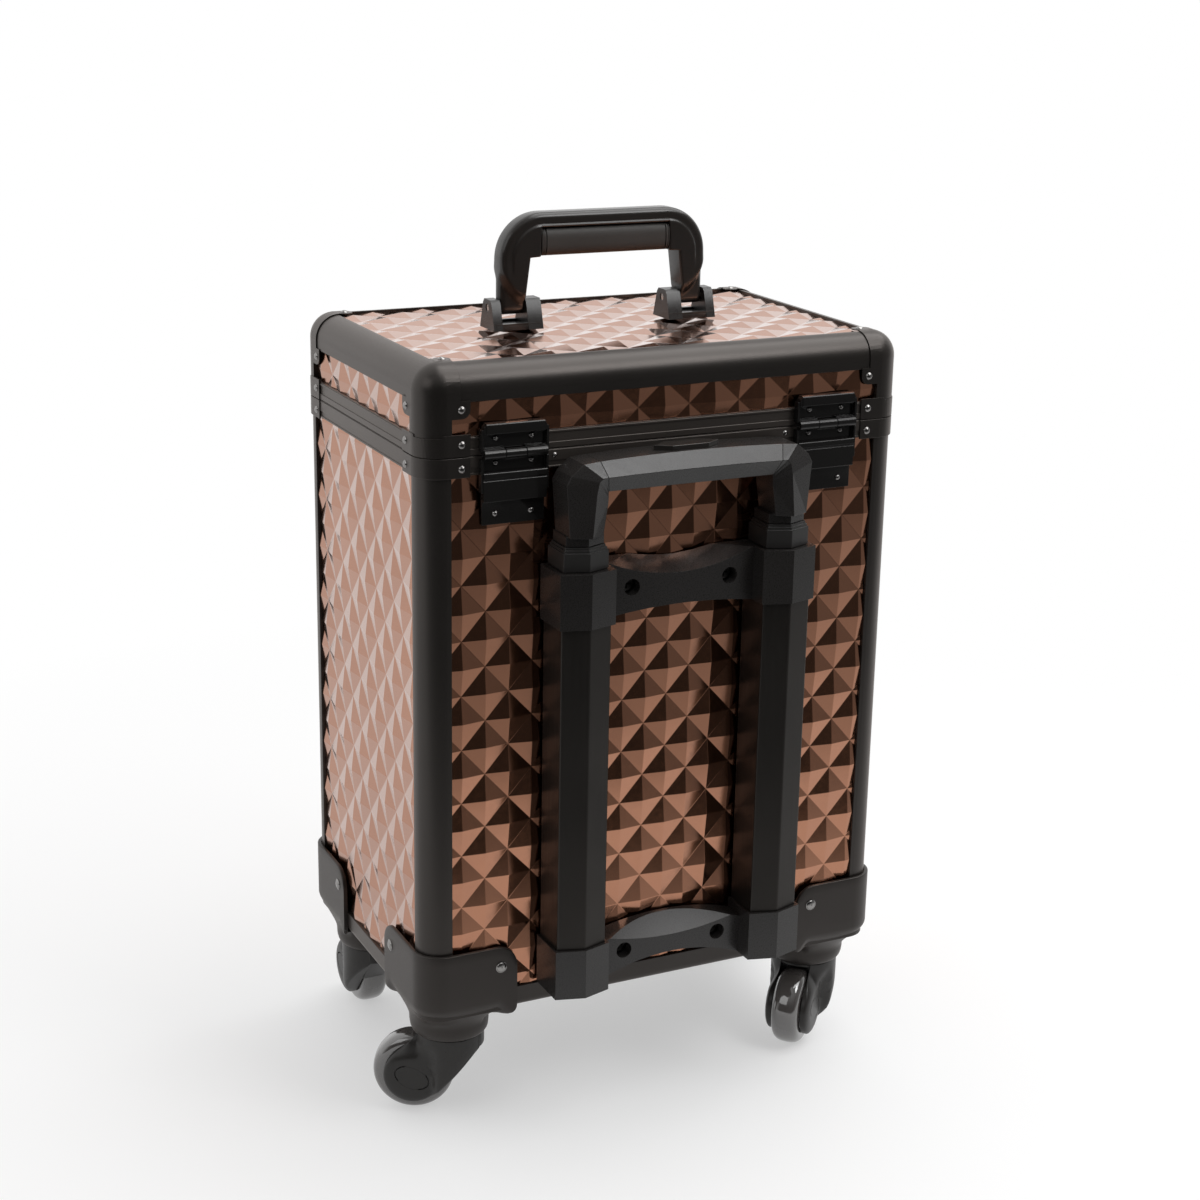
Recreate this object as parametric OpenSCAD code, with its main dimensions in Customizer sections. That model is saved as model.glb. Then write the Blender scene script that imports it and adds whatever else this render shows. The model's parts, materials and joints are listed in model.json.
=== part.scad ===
// Rolling case: an aluminium-framed case with a hinged lid, a folding carry handle,
// a two-stage telescopic trolley handle on its back and four swivel casters.
// The latches face -Y, the trolley handle is on +Y, up is +Z and the floor is z = 0.

/* [Case] */
// Width of the case over its frame
case_w = 340; // [330:1:370]
// Depth of the case, front to back, over its frame
case_d = 218; // [205:1:250]
// Height of the body, from its underside to the seam
body_h = 378; // [366:1:410]
// Height of the lid, from the seam to its top
lid_h = 56; // [52:1:70]
// Height of the body's underside above the floor
ground_gap = 83; // [82:1:90]

/* [Frame profiles] */
// Radius of the rounded outer edges of the frame
edge_r = 16; // [12:0.5:17]
// Width of a corner post on each face
post_w = 19; // [18.5:0.5:22]
// Thickness of the lip that covers a panel's edge
lip_t = 2.4; // [2:0.1:2.8]
// Thickness of the profile's inner leg
inner_leg_t = 1.2; // [1:0.1:2]
// Height of the rim profile on each side of the seam
rim_h = 12; // [11:0.5:14]
// Height of the profile along the bottom edges
bottom_rail_h = 15; // [13:0.5:18]
// Height of the profile along the top edges of the lid
top_rail_h = 22.5; // [20:0.5:25]
// Gap between the lid and the body at the seam
seam_gap = 0.3; // [0.3:0.1:0.6]
// Height of the tongue on the body's rim
tongue_h = 3; // [2:0.5:4]
// Thickness of the tongue on the body's rim
tongue_t = 2; // [1.5:0.1:2.4]

/* [Panels] */
// Thickness of a panel's board
board_t = 5; // [4:0.5:6]
// Height of a pyramid of the diamond relief
relief_h = 2.3; // [1.5:0.1:2.3]
// Half of a diamond's short diagonal
diamond_a = 16.15; // [14:0.05:18]
// Half of a diamond's long diagonal
diamond_b = 18.12; // [16:0.02:20]
// Thickness of the lining
lining_t = 1.5; // [1:0.1:2.5]

/* [Seam plates and rivets] */
// Reach of a seam plate from the case's corner
seam_plate_reach = 31; // [28:1:36]
// Thickness of a seam plate
seam_plate_t = 1.2; // [1:0.1:1.6]
// Diameter of a rivet's head
rivet_d = 5; // [4:0.5:6]
// Height of a rivet's head
rivet_h = 1.4; // [1:0.1:2]
// Distance of the lid caps' joints from the corner
cap_reach = 25; // [23:1:28]
// How far a lid cap stands proud of the frame
cap_proud = 0.8; // [0.5:0.1:1.2]

/* [Casters] */
// Diameter of a wheel
wheel_d = 55; // [50:1:56]
// Width of a wheel
wheel_w = 20; // [18:1:22]
// Distance from the swivel axis to the axle
trail = 24; // [22:1:26]
// Swivel axis, in from the side face
swivel_in_x = 31; // [30:1:36]
// Swivel axis, in from the front or back face
swivel_in_y = 36; // [34:1:40]
// Height of the joint between bracket and fork
swivel_z = 59; // [58.5:0.5:60]
// Radius of the fork's round top
fork_top_r = 23.5; // [22:0.5:25]
// Radius of a fork arm's lower end
fork_end_r = 19.5; // [17:0.5:21]
// Thickness of a fork arm
fork_arm_t = 5.7; // [5:0.1:7]
// Radius of the swivel pin
swivel_pin_r = 5; // [4:0.25:6]
// Radius of the axle
axle_r = 3; // [2.5:0.25:4]
// Reach of a caster bracket along the front and back
bracket_reach_x = 63.5; // [58:0.5:68]
// Reach of a caster bracket along the sides
bracket_reach_y = 68; // [62:0.5:72]
// Height of a caster bracket's ears above the case's underside
bracket_ear_h = 47; // [42:1:52]
// Wall thickness of a caster bracket
bracket_t = 3; // [2.5:0.1:4]

/* [Trolley handle] */
// Distance between the two rails
rail_spacing = 144; // [136:1:150]
// Width of a rail
rail_w = 34.5; // [33.5:0.5:36]
// Depth of a rail's sides
rail_side = 28; // [27:0.5:29]
// Depth of a rail at its ridge
rail_ridge = 33.5; // [33:0.5:35]
// Wall thickness of a rail
rail_wall = 2.6; // [2:0.1:3]
// Wall thickness of the sliding tubes
tube_wall = 1.6; // [1.2:0.1:2]
// Sliding gap between one tube and the next
slide_gap = 0.35; // [0.3:0.05:0.5]
// How much a bracket collar is larger than the rail all round
collar_wall = 2; // [1.8:0.1:2.6]
// Height of the lower sockets
socket_h = 34; // [30:1:40]
// Height of the upper collars
collar_h = 36; // [32:1:40]
// Bottom of the lower sockets, above the case's underside
socket_rise = 16; // [15:1:22]
// Top of the upper collars, below the seam
collar_drop = 73; // [70:1:76]
// Depth of the crosspieces
cross_depth = 17; // [15:0.5:19]
// Distance of a crosspiece's screws from the middle
screw_x = 35.2; // [30:0.2:38]
// Middle tubes' feet above the feet of the rails, pushed in
mid_foot_gap = 20; // [19:1:85]
// Inner tubes' feet above those of the middle tubes
inner_foot_gap = 8.35; // [4:0.05:68]
// Height of the grip's inner opening above the middle collars
grip_open_h = 34; // [30:1:36]
// Height of the grip bar at its ends
grip_bar_h = 19.5; // [18:0.5:20]
// Extra height of the grip bar at its middle
grip_crown = 1.6; // [1:0.1:2]
// Length of the push button
button_l = 46; // [36:1:52]
// Width of the push button
button_w = 13; // [10:0.5:14]
// Height that the button stands proud of the grip
button_proud = 3; // [2.5:0.1:3.5]
// Travel of the push button
button_travel = 2.6; // [1.5:0.1:2.8]

/* [Hinges and latches] */
// Distance from the case's side to a hinge's middle
hinge_in = 59; // [54:1:64]
// Width of a hinge
hinge_w = 42; // [36:1:44]
// Height of the hinge pin above the seam
hinge_rise = 1; // [0.8:0.1:1.4]
// Distance of the hinge pin from the back face
hinge_out = 4.5; // [4.3:0.1:5]
// Radius of a hinge knuckle
knuckle_r = 3.2; // [2.8:0.1:3.4]
// Radius of a hinge pin and a latch pin
small_pin_r = 1.5; // [1.2:0.1:1.8]
// Distance from the case's middle to a latch
latch_x = 95; // [80:1:105]
// Width of a latch
latch_w = 34; // [28:1:40]

/* [Carry handle] */
// Distance from the case's middle to a handle leg
handle_x = 66; // [60:0.5:72]
// Width of a handle leg
leg_w = 17.5; // [16:0.5:19]
// Height of the handle's top above the lid
handle_h = 75; // [70:1:82]
// Thickness of the handle, front to back
handle_t = 18; // [16:1:20]
// Height of the handle's pivot above the lid
pivot_h = 14; // [13.5:0.5:16]
// Radius of the handle's pivot pins
handle_pin_r = 2.5; // [2:0.1:3]
// Thickness of a handle base's cheek
cheek_t = 6.5; // [5.5:0.5:8]
// Thickness of a handle base's inner cheek
inner_cheek_t = 10.5; // [8:0.5:12]
// Depth of a handle base at its foot
base_d = 24; // [22:1:28]

/* [Fits] */
// Gap between seated pieces that don't move
seat_gap = 0.1; // [0.05:0.01:0.15]
// Radial clearance of a press-fitted pin
press_gap = 0.02; // [0.01:0.01:0.03]
// Radial clearance of a running pin or axle
run_gap = 0.05; // [0.03:0.01:0.08]
// Gap between pieces that move past each other
move_gap = 0.35; // [0.3:0.05:0.5]

/* [Hidden] */
$fn = 48;

half_w = case_w / 2;
half_d = case_d / 2;
seam_z = ground_gap + body_h;
top_z = seam_z + lid_h;

// A panel's face plane, and the depths of the profile's slot and inner leg
face_in = lip_t + seat_gap;
slot_out = face_in + board_t + seat_gap;
leg_in = slot_out + inner_leg_t;
slot_end = 10;
slot_depth = 7;
board_edge = slot_end + 0.3;
rail_flange_t = 2;

// Each caster's corner, as signs along x and y, and its turn about the swivel axis at rest
rear_right = [1, 1, -27];
front_right = [1, -1, -90];
rear_left = [-1, 1, 43];
front_left = [-1, -1, 153];
corners = [rear_right, front_right, rear_left, front_left];

// Where one low point of each pattern lies
back_star_x = 1.4;
back_star_rise = 168.5;
side_star_rise = 182.3;
back_star_z = ground_gap + back_star_rise;
side_star_y = 3.3;
side_star_z = ground_gap + side_star_rise;
strip_star_x = 12.3;
strip_star_rise = 20.5;
strip_star_z = seam_z + strip_star_rise;

// Rivets, in from the corner along x, along y and above or below the seam
rivet_in = 25.5;
seam_rivet_z = 7.5;
cap_rivet_z = top_z - 27;
cap_top_rivet = 21;

// Caster heights
axle_z = wheel_d / 2;
neck_top_z = ground_gap - bracket_t;
fork_inner = wheel_w / 2 + 0.8;
fork_outer = fork_inner + fork_arm_t;
wheel_clear = wheel_d / 2 + 1.5;
hub_r = 17;
axle_cap_r = 10;
axle_cap_t = 1;
pin_bottom_z = swivel_z - 9;

// Trolley tubes, as widths, side depths and ridge depths
rail_x = rail_spacing / 2;
mid_shrink = rail_wall + slide_gap;
inner_shrink = mid_shrink + tube_wall + slide_gap;
socket_z = ground_gap + socket_rise;
collar_top_z = seam_z - collar_drop;
rail_bottom_z = socket_z + 5;
rail_top_z = collar_top_z - 3;
mid_bottom_z = rail_bottom_z + mid_foot_gap;
mid_collar_z = collar_top_z + move_gap;
mid_collar_h = 15.5;
inner_bottom_z = mid_bottom_z + inner_foot_gap;
grip_foot_z = mid_collar_z + mid_collar_h + move_gap;
grip_ring_h = 6;
grip_leg_z = grip_foot_z + grip_ring_h;
grip_under_z = mid_collar_z + mid_collar_h + grip_open_h;
grip_top_z = grip_under_z + grip_bar_h;
grip_back_y = 6;
grip_side_y = 28;
grip_ridge_y = 34;
grip_joint_x = 64.4;
grip_mid_y = (grip_back_y + grip_side_y) / 2 + 1;
channel_h = 11;
channel_z = grip_under_z + 3;
rod_bar_h = 3;
rod_z = channel_z + button_travel + 0.4;
button_low_z = rod_z + rod_bar_h + 0.05;
button_top_z = grip_top_z + grip_crown + button_proud;
button_flange = 1.2;
button_flange_t = channel_z + channel_h - 0.5 - move_gap - button_low_z;
grip_plug_h = 20;

hinge_z = seam_z + hinge_rise;
hinge_leaf_t = 1.7;
hood_depth = 5.6;
latch_out = 6;

pivot_z = top_z + pivot_h;
handle_top_z = top_z + handle_h;
base_gap = leg_w + 2 * move_gap;

// Shift that puts the origin under the middle of the object's box
back_reach = half_d + rail_ridge + collar_wall;
front_reach = half_d - swivel_in_y + trail + wheel_d / 2;
case_y = (front_reach - back_reach) / 2;

black = "#2b2927";
satin_black = "#3a3734";
gloss_black = "#171615";
rose = "#b98f7a";
steel = "#8d8986";

// Places pieces in the case's own frame
module at_case() {
    translate([0, case_y, 0]) children();
}

// Mirrors pieces that are drawn for the case's left front corner
module flipped(x, y) {
    if (x && y) mirror([1, 0, 0]) mirror([0, 1, 0]) children();
    else if (x) mirror([1, 0, 0]) children();
    else if (y) mirror([0, 1, 0]) children();
    else children();
}

// Local x and y run into the case from the corner's two faces
module at_corner(corner) {
    at_case() translate([corner[0] * half_w, corner[1] * half_d, 0])
        flipped(corner[0] > 0, corner[1] > 0) children();
}

module at_each_corner() {
    for (corner = corners) at_corner(corner) children();
}

// Local x runs along a side, local y out of it and z up: 0 back, 1 front, 2 right, 3 left
module at_side(side) {
    at_case() {
        if (side == 0) translate([0, half_d, 0]) children();
        if (side == 1) translate([0, -half_d, 0]) rotate([0, 0, 180]) children();
        if (side == 2) translate([half_w, 0, 0]) rotate([0, 0, -90]) children();
        if (side == 3) translate([-half_w, 0, 0]) rotate([0, 0, 90]) children();
    }
}

function side_length(side) = side < 2 ? case_w : case_d;

// A rectangle from 0, 0 whose first corner is round
module corner_area(x, y, r) {
    intersection() {
        translate([r, r]) circle(r);
        square(r);
    }
    translate([r, 0]) square([x - r, y]);
    translate([0, r]) square([r, y - r]);
}

// A centred rectangle with four round corners
module round_rect(x, y, r) {
    square([x - 2 * r, y], center = true);
    square([x, y - 2 * r], center = true);
    for (i = [-1, 1], j = [-1, 1]) translate([i * (x / 2 - r), j * (y / 2 - r)]) circle(r);
}

// A ring of the case's outline between two depths from its outer face
module outline_ring(outer, inner) {
    difference() {
        round_rect(case_w - 2 * outer, case_d - 2 * outer, edge_r - outer);
        round_rect(case_w - 2 * inner, case_d - 2 * inner, max(edge_r - inner, 2));
    }
}

// The diamond relief over a centred window: stars low, apexes high, valleys star to star
module relief(w, h, step_u, step_v, shift_u, shift_v) {
    nu = 4 * ceil(w / step_u / 4) + 4;
    nv = 4 * ceil(h / step_v / 4) + 4;
    low = 0.1;
    at = function (i, j) j * (nu + 1) + i;
    foot = (nu + 1) * (nv + 1);
    u0 = shift_u - nu / 2 * step_u;
    v0 = shift_v - nv / 2 * step_v;
    tops = [for (j = [0:nv], i = [0:nu])
        [u0 + i * step_u, v0 + j * step_v, (i + j) % 2 == 0 ? low : relief_h]];
    feet = [for (p = [[0, 0], [nu, 0], [nu, nv], [0, nv]])
        [u0 + p[0] * step_u, v0 + p[1] * step_v, -1]];
    cells = [for (j = [0:nv - 1], i = [0:nu - 1], t = [0, 1])
        (i + j) % 2 == 0
            ? (t == 0 ? [at(i, j), at(i + 1, j + 1), at(i + 1, j)]
                      : [at(i, j), at(i, j + 1), at(i + 1, j + 1)])
            : (t == 0 ? [at(i, j), at(i, j + 1), at(i + 1, j)]
                      : [at(i + 1, j), at(i, j + 1), at(i + 1, j + 1)])];
    walls = [
        concat([foot], [for (i = [0:nu]) at(i, 0)], [foot + 1]),
        concat([foot + 1], [for (j = [0:nv]) at(nu, j)], [foot + 2]),
        concat([foot + 2], [for (i = [nu:-1:0]) at(i, nv)], [foot + 3]),
        concat([foot + 3], [for (j = [nv:-1:0]) at(0, j)], [foot])
    ];
    intersection() {
        polyhedron(concat(tops, feet), concat(cells, walls, [[foot, foot + 1, foot + 2, foot + 3]]));
        translate([-w / 2, -h / 2, -0.5]) cube([w, h, relief_h + 2]);
    }
}

// A board with its relief, lying in the xy plane with its face up; the window is smaller
module diamond_board(w, h, window_w, window_h, window_y, steps, shifts) {
    translate([-w / 2, -h / 2, -board_t]) cube([w, h, board_t]);
    translate([0, window_y, 0])
        relief(window_w, window_h, steps[0], steps[1], shifts[0], shifts[1] - window_y);
}

// A body wall on one side of the case
module body_wall(side, shift_u, row_z) {
    low = ground_gap + slot_depth + 0.3;
    high = seam_z - rim_h + slot_depth - 0.3;
    window_low = ground_gap + bottom_rail_h + seat_gap;
    window_high = seam_z - rim_h - seat_gap;
    mid = (low + high) / 2;
    at_side(side) translate([0, -face_in, mid]) rotate([90, 0, 180])
        diamond_board(side_length(side) - 2 * board_edge, high - low,
            side_length(side) - 2 * (post_w + seat_gap), window_high - window_low,
            (window_low + window_high) / 2 - mid, [diamond_a, diamond_b], [shift_u, row_z - mid]);
}

module back_panel() {
    color(rose) difference() {
        body_wall(0, back_star_x, back_star_z);
        bracket_screw_axes() cylinder(h = 40, r = screw_shank_r + 0.2, center = true);
    }
}

module front_panel() {
    color(rose) body_wall(1, 0, back_star_z);
}

module side_panels() {
    color(rose) for (side = [2, 3]) body_wall(side, side == 2 ? side_star_y : -side_star_y, side_star_z);
}

module bottom_panel() {
    color(satin_black) at_case() translate([0, 0, ground_gap + rail_flange_t + seat_gap])
        linear_extrude(board_t) square([case_w - 2 * (leg_in + seat_gap), case_d - 2 * (leg_in + seat_gap)], center = true);
}

// Section of a corner profile, with slots for the two boards that meet in it
module post_section() {
    slot_t = slot_out - lip_t;
    difference() {
        corner_area(post_w, post_w, edge_r);
        translate([leg_in, leg_in]) square(post_w);
        translate([slot_end, lip_t]) square([post_w, slot_t]);
        translate([lip_t, slot_end]) square([slot_t, post_w]);
    }
}

module corner_posts() {
    color(satin_black) at_each_corner() translate([0, 0, ground_gap])
        linear_extrude(body_h - rim_h) post_section();
}

// Section of a bottom rail: depth from the face, height
module bottom_rail_section() {
    difference() {
        union() {
            corner_area(leg_in, bottom_rail_h, 5);
            translate([5, 0]) square([post_w - 5, rail_flange_t]);
        }
        translate([lip_t, slot_depth]) square([slot_out - lip_t, bottom_rail_h]);
    }
}

module bottom_rails() {
    color(satin_black) for (side = [0:3]) {
        run = side_length(side) - 2 * (post_w + seat_gap);
        at_side(side) translate([run / 2, 0, ground_gap]) rotate([90, 0, -90])
            linear_extrude(run) bottom_rail_section();
    }
}

// Slots for the boards' edges in a rim, from its face at one height
module rim_slots(z, h) {
    for (side = [0:3]) {
        run = side_length(side) - 2 * slot_end;
        at_side(side) translate([-run / 2, -slot_out, z]) cube([run, slot_out - lip_t, h]);
    }
}

tongue_in = lip_t + 1.1;

module body_rim() {
    color(satin_black) {
        difference() {
            at_case() translate([0, 0, seam_z - rim_h]) linear_extrude(rim_h) outline_ring(0, leg_in);
            rim_slots(seam_z - rim_h - 1, slot_depth + 1);
        }
        at_case() translate([0, 0, seam_z]) linear_extrude(tongue_h)
            outline_ring(tongue_in, tongue_in + tongue_t);
    }
}

// A seam plate wraps the corner; local z runs from the seam outwards
module seam_plate(h) {
    gap = seat_gap;
    linear_extrude(h) difference() {
        translate([-seam_plate_t - gap, -seam_plate_t - gap])
            corner_area(seam_plate_reach + seam_plate_t, seam_plate_reach + seam_plate_t,
                edge_r + seam_plate_t + gap);
        translate([-gap, -gap]) corner_area(seam_plate_reach * 2, seam_plate_reach * 2, edge_r + gap);
    }
}

module body_seam_plates() {
    color(satin_black) at_each_corner() translate([0, 0, seam_z - rim_h - 1]) seam_plate(rim_h + 0.7);
}

// A domed head whose flat foot lies in the xy plane
module rivet_head(d, h) {
    rotate_extrude() intersection() {
        translate([0, h - (d * d / 4 + h * h) / (2 * h)]) circle((d * d / 4 + h * h) / (2 * h));
        square([d, h]);
    }
}

// Rivets on both faces of each corner: distance in, height, standing off the face
module corner_rivets(inset_x, inset_y, z, off) {
    at_each_corner() {
        translate([inset_x, -off, z]) rotate([90, 0, 0]) rivet_head(rivet_d, rivet_h);
        translate([-off, inset_y, z]) rotate([0, -90, 0]) rivet_head(rivet_d, rivet_h);
    }
}

hinge_x = half_w - hinge_in;
hinge_sides = [-hinge_x, hinge_x];
rim_screw_x = hinge_x - hinge_w / 2 - 7.5;
latch_sides = [-latch_x, latch_x];
plate_off = seam_plate_t + 2 * seat_gap;
hinge_rivet_x = 12;

module body_rivets() {
    color(steel) {
        corner_rivets(rivet_in, rivet_in, seam_z - seam_rivet_z, plate_off);
        corner_rivets(bracket_rivet_x, bracket_rivet_y, bracket_rivet_z, bracket_t + 2 * seat_gap);
        for (x = hinge_sides, i = [-1, 1], z = [seam_z - 5, hinge_flange_z + 7])
            at_side(0) translate([x + i * hinge_rivet_x, hinge_leaf_t + 2 * seat_gap, z])
                rotate([-90, 0, 0]) rivet_head(rivet_d - 1, rivet_h);
        for (i = [-1, 1]) at_side(0) translate([i * rim_screw_x, seat_gap, seam_z - 4])
            rotate([-90, 0, 0]) rivet_head(rivet_d - 1, rivet_h);
        for (x = latch_sides, i = [-1, 1]) at_side(1)
            translate([x + i * (latch_w / 2 - 4), latch_plate_t + 2 * seat_gap, latch_low_z + 5])
                rotate([-90, 0, 0]) rivet_head(rivet_d - 1, rivet_h);
    }
}

// An open lining box between two heights, with its floor at the lower one
module lining_box(low, high, floor_low) {
    inset = leg_in + seat_gap + 0.1;
    inner = inset + lining_t;
    at_case() difference() {
        translate([0, 0, low]) linear_extrude(high - low)
            round_rect(case_w - 2 * inset, case_d - 2 * inset, max(edge_r - inset, 2));
        translate([0, 0, floor_low ? low + lining_t : low - 1]) linear_extrude(high - low - lining_t + 1)
            round_rect(case_w - 2 * inner, case_d - 2 * inner, max(edge_r - inner, 2));
    }
}

lining_low = ground_gap + rail_flange_t + board_t + 2 * seat_gap;
lining_high = seam_z - 2;

module body_lining() {
    color(black) lining_box(lining_low, lining_high, true);
}

bracket_rivet_in = 11.5;
ear_r = 14;
ear_foot_r = 3;
neck_step = 3.5;
neck_flare = 4;
bracket_rivet_x = bracket_reach_x - bracket_rivet_in;
bracket_rivet_y = bracket_reach_y - bracket_rivet_in;
bracket_rivet_z = ground_gap + 33;
bracket_top_z = ground_gap + bracket_ear_h;

// A bracket ear's outline: reach along the face, height
module ear_outline(reach) {
    h = bracket_top_z - neck_top_z;
    translate([edge_r, 0]) square([reach - ear_r - edge_r, h]);
    translate([edge_r, ear_foot_r]) square([reach - edge_r, h - ear_r - ear_foot_r]);
    translate([reach - ear_r, h - ear_r]) circle(ear_r);
    translate([reach - ear_foot_r, ear_foot_r]) circle(ear_foot_r);
    translate([reach - ear_r, 0]) square([ear_r - ear_foot_r, ear_foot_r]);
}

// Half section of the bracket's round neck, from the swivel joint up
module neck_section() {
    polygon([
        [0, swivel_z + move_gap], [fork_top_r, swivel_z + move_gap],
        [fork_top_r + 1, swivel_z + move_gap + 1], [fork_top_r + neck_step, swivel_z + 6],
        [fork_top_r + neck_step, neck_top_z - 2 * neck_flare],
        [fork_top_r + neck_step + 1.5, neck_top_z - neck_flare + 1],
        [fork_top_r + neck_step + neck_flare, neck_top_z + 0.5], [0, neck_top_z + 0.5]
    ]);
}

module caster_brackets() {
    gap = seat_gap;
    color(satin_black) at_each_corner() difference() {
        union() {
            translate([0, 0, neck_top_z]) linear_extrude(bracket_top_z - neck_top_z) difference() {
                intersection() {
                    translate([edge_r, edge_r]) circle(edge_r + bracket_t + gap);
                    translate([-bracket_t - gap, -bracket_t - gap]) square(edge_r + bracket_t + gap);
                }
                translate([edge_r, edge_r]) circle(edge_r + gap);
            }
            translate([0, -gap, neck_top_z]) rotate([90, 0, 0])
                linear_extrude(bracket_t) ear_outline(bracket_reach_x);
            translate([-gap - bracket_t, 0, neck_top_z]) rotate([90, 0, 90])
                linear_extrude(bracket_t) ear_outline(bracket_reach_y);
            translate([0, 0, neck_top_z]) linear_extrude(bracket_t - gap) difference() {
                translate([-bracket_t - gap, -bracket_t - gap])
                    corner_area(bracket_reach_x, bracket_reach_y, edge_r + bracket_t + gap);
                translate([swivel_in_x + 15, swivel_in_y + 15]) square(60);
            }
            translate([swivel_in_x, swivel_in_y, 0]) rotate_extrude() neck_section();
        }
        translate([swivel_in_x, swivel_in_y, swivel_z]) cylinder(h = pin_top_z - swivel_z, r = swivel_pin_r + press_gap);
    }
}

pin_top_z = ground_gap - 5;

module swivel_pins() {
    color(steel) at_each_corner() translate([swivel_in_x, swivel_in_y, pin_bottom_z])
        cylinder(h = pin_top_z - press_gap - pin_bottom_z, r = swivel_pin_r);
}

// Outline of a trolley section: width, back, side and ridge depth
module ridge_section(w, back, side, ridge) {
    polygon([[-w / 2, back], [w / 2, back], [w / 2, side], [0, ridge], [-w / 2, side]]);
}

// The rail's outline moved inwards or outwards by the same amount all round
module rail_outline(inwards) {
    ridge_section(rail_w - 2 * inwards, seat_gap + 0.2 + inwards, rail_side - inwards, rail_ridge - inwards);
}

module at_rails() {
    for (i = [-1, 1]) at_side(0) translate([i * rail_x, 0, 0]) children();
}

module tube(z, h, outer, wall) {
    translate([0, 0, z]) linear_extrude(h) difference() {
        rail_outline(outer);
        rail_outline(outer + wall);
    }
}

module trolley_rails() {
    color(gloss_black) at_rails() tube(rail_bottom_z, rail_top_z - rail_bottom_z, 0, rail_wall);
}

screw_shank_r = 2.2;
screw_head_r = 4.6;
counterbore_r = 5.5;
counterbore_floor_y = 5;
lower_screw_z = socket_z + 19;
upper_screw_z = collar_top_z - 17.5;

// The four screw axes through the crosspieces, local z along +Y
module bracket_screw_axes() {
    for (i = [-1, 1], z = [lower_screw_z, upper_screw_z])
        at_side(0) translate([i * screw_x, 0, z]) rotate([-90, 0, 0]) children();
}

cross_l = rail_spacing - rail_w - 2 * collar_wall + 2;

// Radius of an arc from its chord and its rise
function arc_r(chord, rise) = (chord * chord / 4 + rise * rise) / (2 * rise);

// A cylinder across a crosspiece whose side bulges down to z at the face y
module scoop(z, y, r, tilt) {
    translate([0, y, z]) rotate([-90 + tilt, 0, 0]) translate([0, -r, -60]) cylinder(h = 120, r = r, $fn = 180);
}

module bracket_screw_cuts(z) {
    for (i = [-1, 1]) at_side(0) translate([i * screw_x, 0, z]) rotate([-90, 0, 0]) {
        cylinder(h = 60, r = screw_shank_r + seat_gap, center = true);
        translate([0, 0, counterbore_floor_y]) cylinder(h = 60, r = counterbore_r);
    }
}

module upper_bracket() {
    low = collar_top_z - collar_h;
    sag = 11;
    rise = 4;
    color(black) difference() {
        union() {
            at_rails() translate([0, 0, low]) linear_extrude(collar_h)
                ridge_section(rail_w + 2 * collar_wall, seat_gap, rail_side + collar_wall, rail_ridge + collar_wall);
            at_side(0) difference() {
                translate([-cross_l / 2, seat_gap, low]) cube([cross_l, cross_depth, collar_h]);
                scoop(collar_top_z - sag, cross_depth, arc_r(cross_l, sag), -24);
                translate([0, 0, low + rise - arc_r(cross_l, rise)]) rotate([-90, 0, 0])
                    translate([0, 0, -1]) cylinder(h = 60, r = arc_r(cross_l, rise), $fn = 180);
            }
        }
        at_rails() translate([0, 0, low - 1]) linear_extrude(rail_top_z - low + 1 + seat_gap) rail_outline(-seat_gap);
        at_rails() translate([0, 0, low - 1]) linear_extrude(collar_h + 2) rail_outline(mid_shrink - slide_gap);
        bracket_screw_cuts(upper_screw_z);
    }
}

module lower_bracket() {
    arch = 11.5;
    rise = 8;
    shoulder = socket_h - 7;
    color(black) difference() {
        union() {
            at_rails() translate([0, 0, socket_z]) linear_extrude(socket_h)
                ridge_section(rail_w + 2 * collar_wall, seat_gap, rail_side + collar_wall, rail_ridge + collar_wall);
            at_side(0) difference() {
                intersection() {
                    translate([-cross_l / 2, seat_gap, socket_z]) cube([cross_l, cross_depth, socket_h + 10]);
                    translate([0, -1, socket_z + shoulder + rise - arc_r(cross_l, rise)]) rotate([-90, 0, 0])
                        cylinder(h = 60, r = arc_r(cross_l, rise), $fn = 180);
                }
                scoop(socket_z + shoulder - 3, cross_depth, arc_r(cross_l, 6), -38);
                translate([0, 0, socket_z + arch - arc_r(cross_l, arch)]) rotate([-90, 0, 0])
                    translate([0, 0, -1]) cylinder(h = 60, r = arc_r(cross_l, arch), $fn = 180);
            }
        }
        at_rails() translate([0, 0, rail_bottom_z - seat_gap]) linear_extrude(socket_h) rail_outline(-seat_gap);
        bracket_screw_cuts(lower_screw_z);
    }
}

module bracket_screws() {
    color(steel) bracket_screw_axes() {
        translate([0, 0, counterbore_floor_y + seat_gap]) difference() {
            cylinder(h = 3.4, r = screw_head_r);
            translate([0, 0, 1.6]) for (a = [0, 90]) rotate([0, 0, a]) cube([6, 1.1, 8], center = true);
        }
        translate([0, 0, -face_in - board_t + 0.3]) cylinder(h = face_in + board_t + counterbore_floor_y, r = screw_shank_r);
    }
}

hinge_flange_z = seam_z - 44;
hinge_box_z = seam_z - 29;
hinge_ridge_z = seam_z - 15;
knuckle_gap = 0.4;
knuckle_l = hinge_w / 3;

// A knuckle on the hinge axis with a web down or up to its leaf: start along x, length, side
module knuckle(x0, l, up) {
    difference() {
        union() {
            translate([x0, hinge_out, hinge_z]) rotate([0, 90, 0]) cylinder(h = l, r = knuckle_r);
            translate([x0, 2 * seat_gap, up ? hinge_z : hinge_z - 4]) cube([l, hinge_out - seat_gap, 4]);
        }
        translate([x0 - 1, hinge_out, hinge_z]) rotate([0, 90, 0]) cylinder(h = l + 2, r = small_pin_r + run_gap);
    }
}

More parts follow.
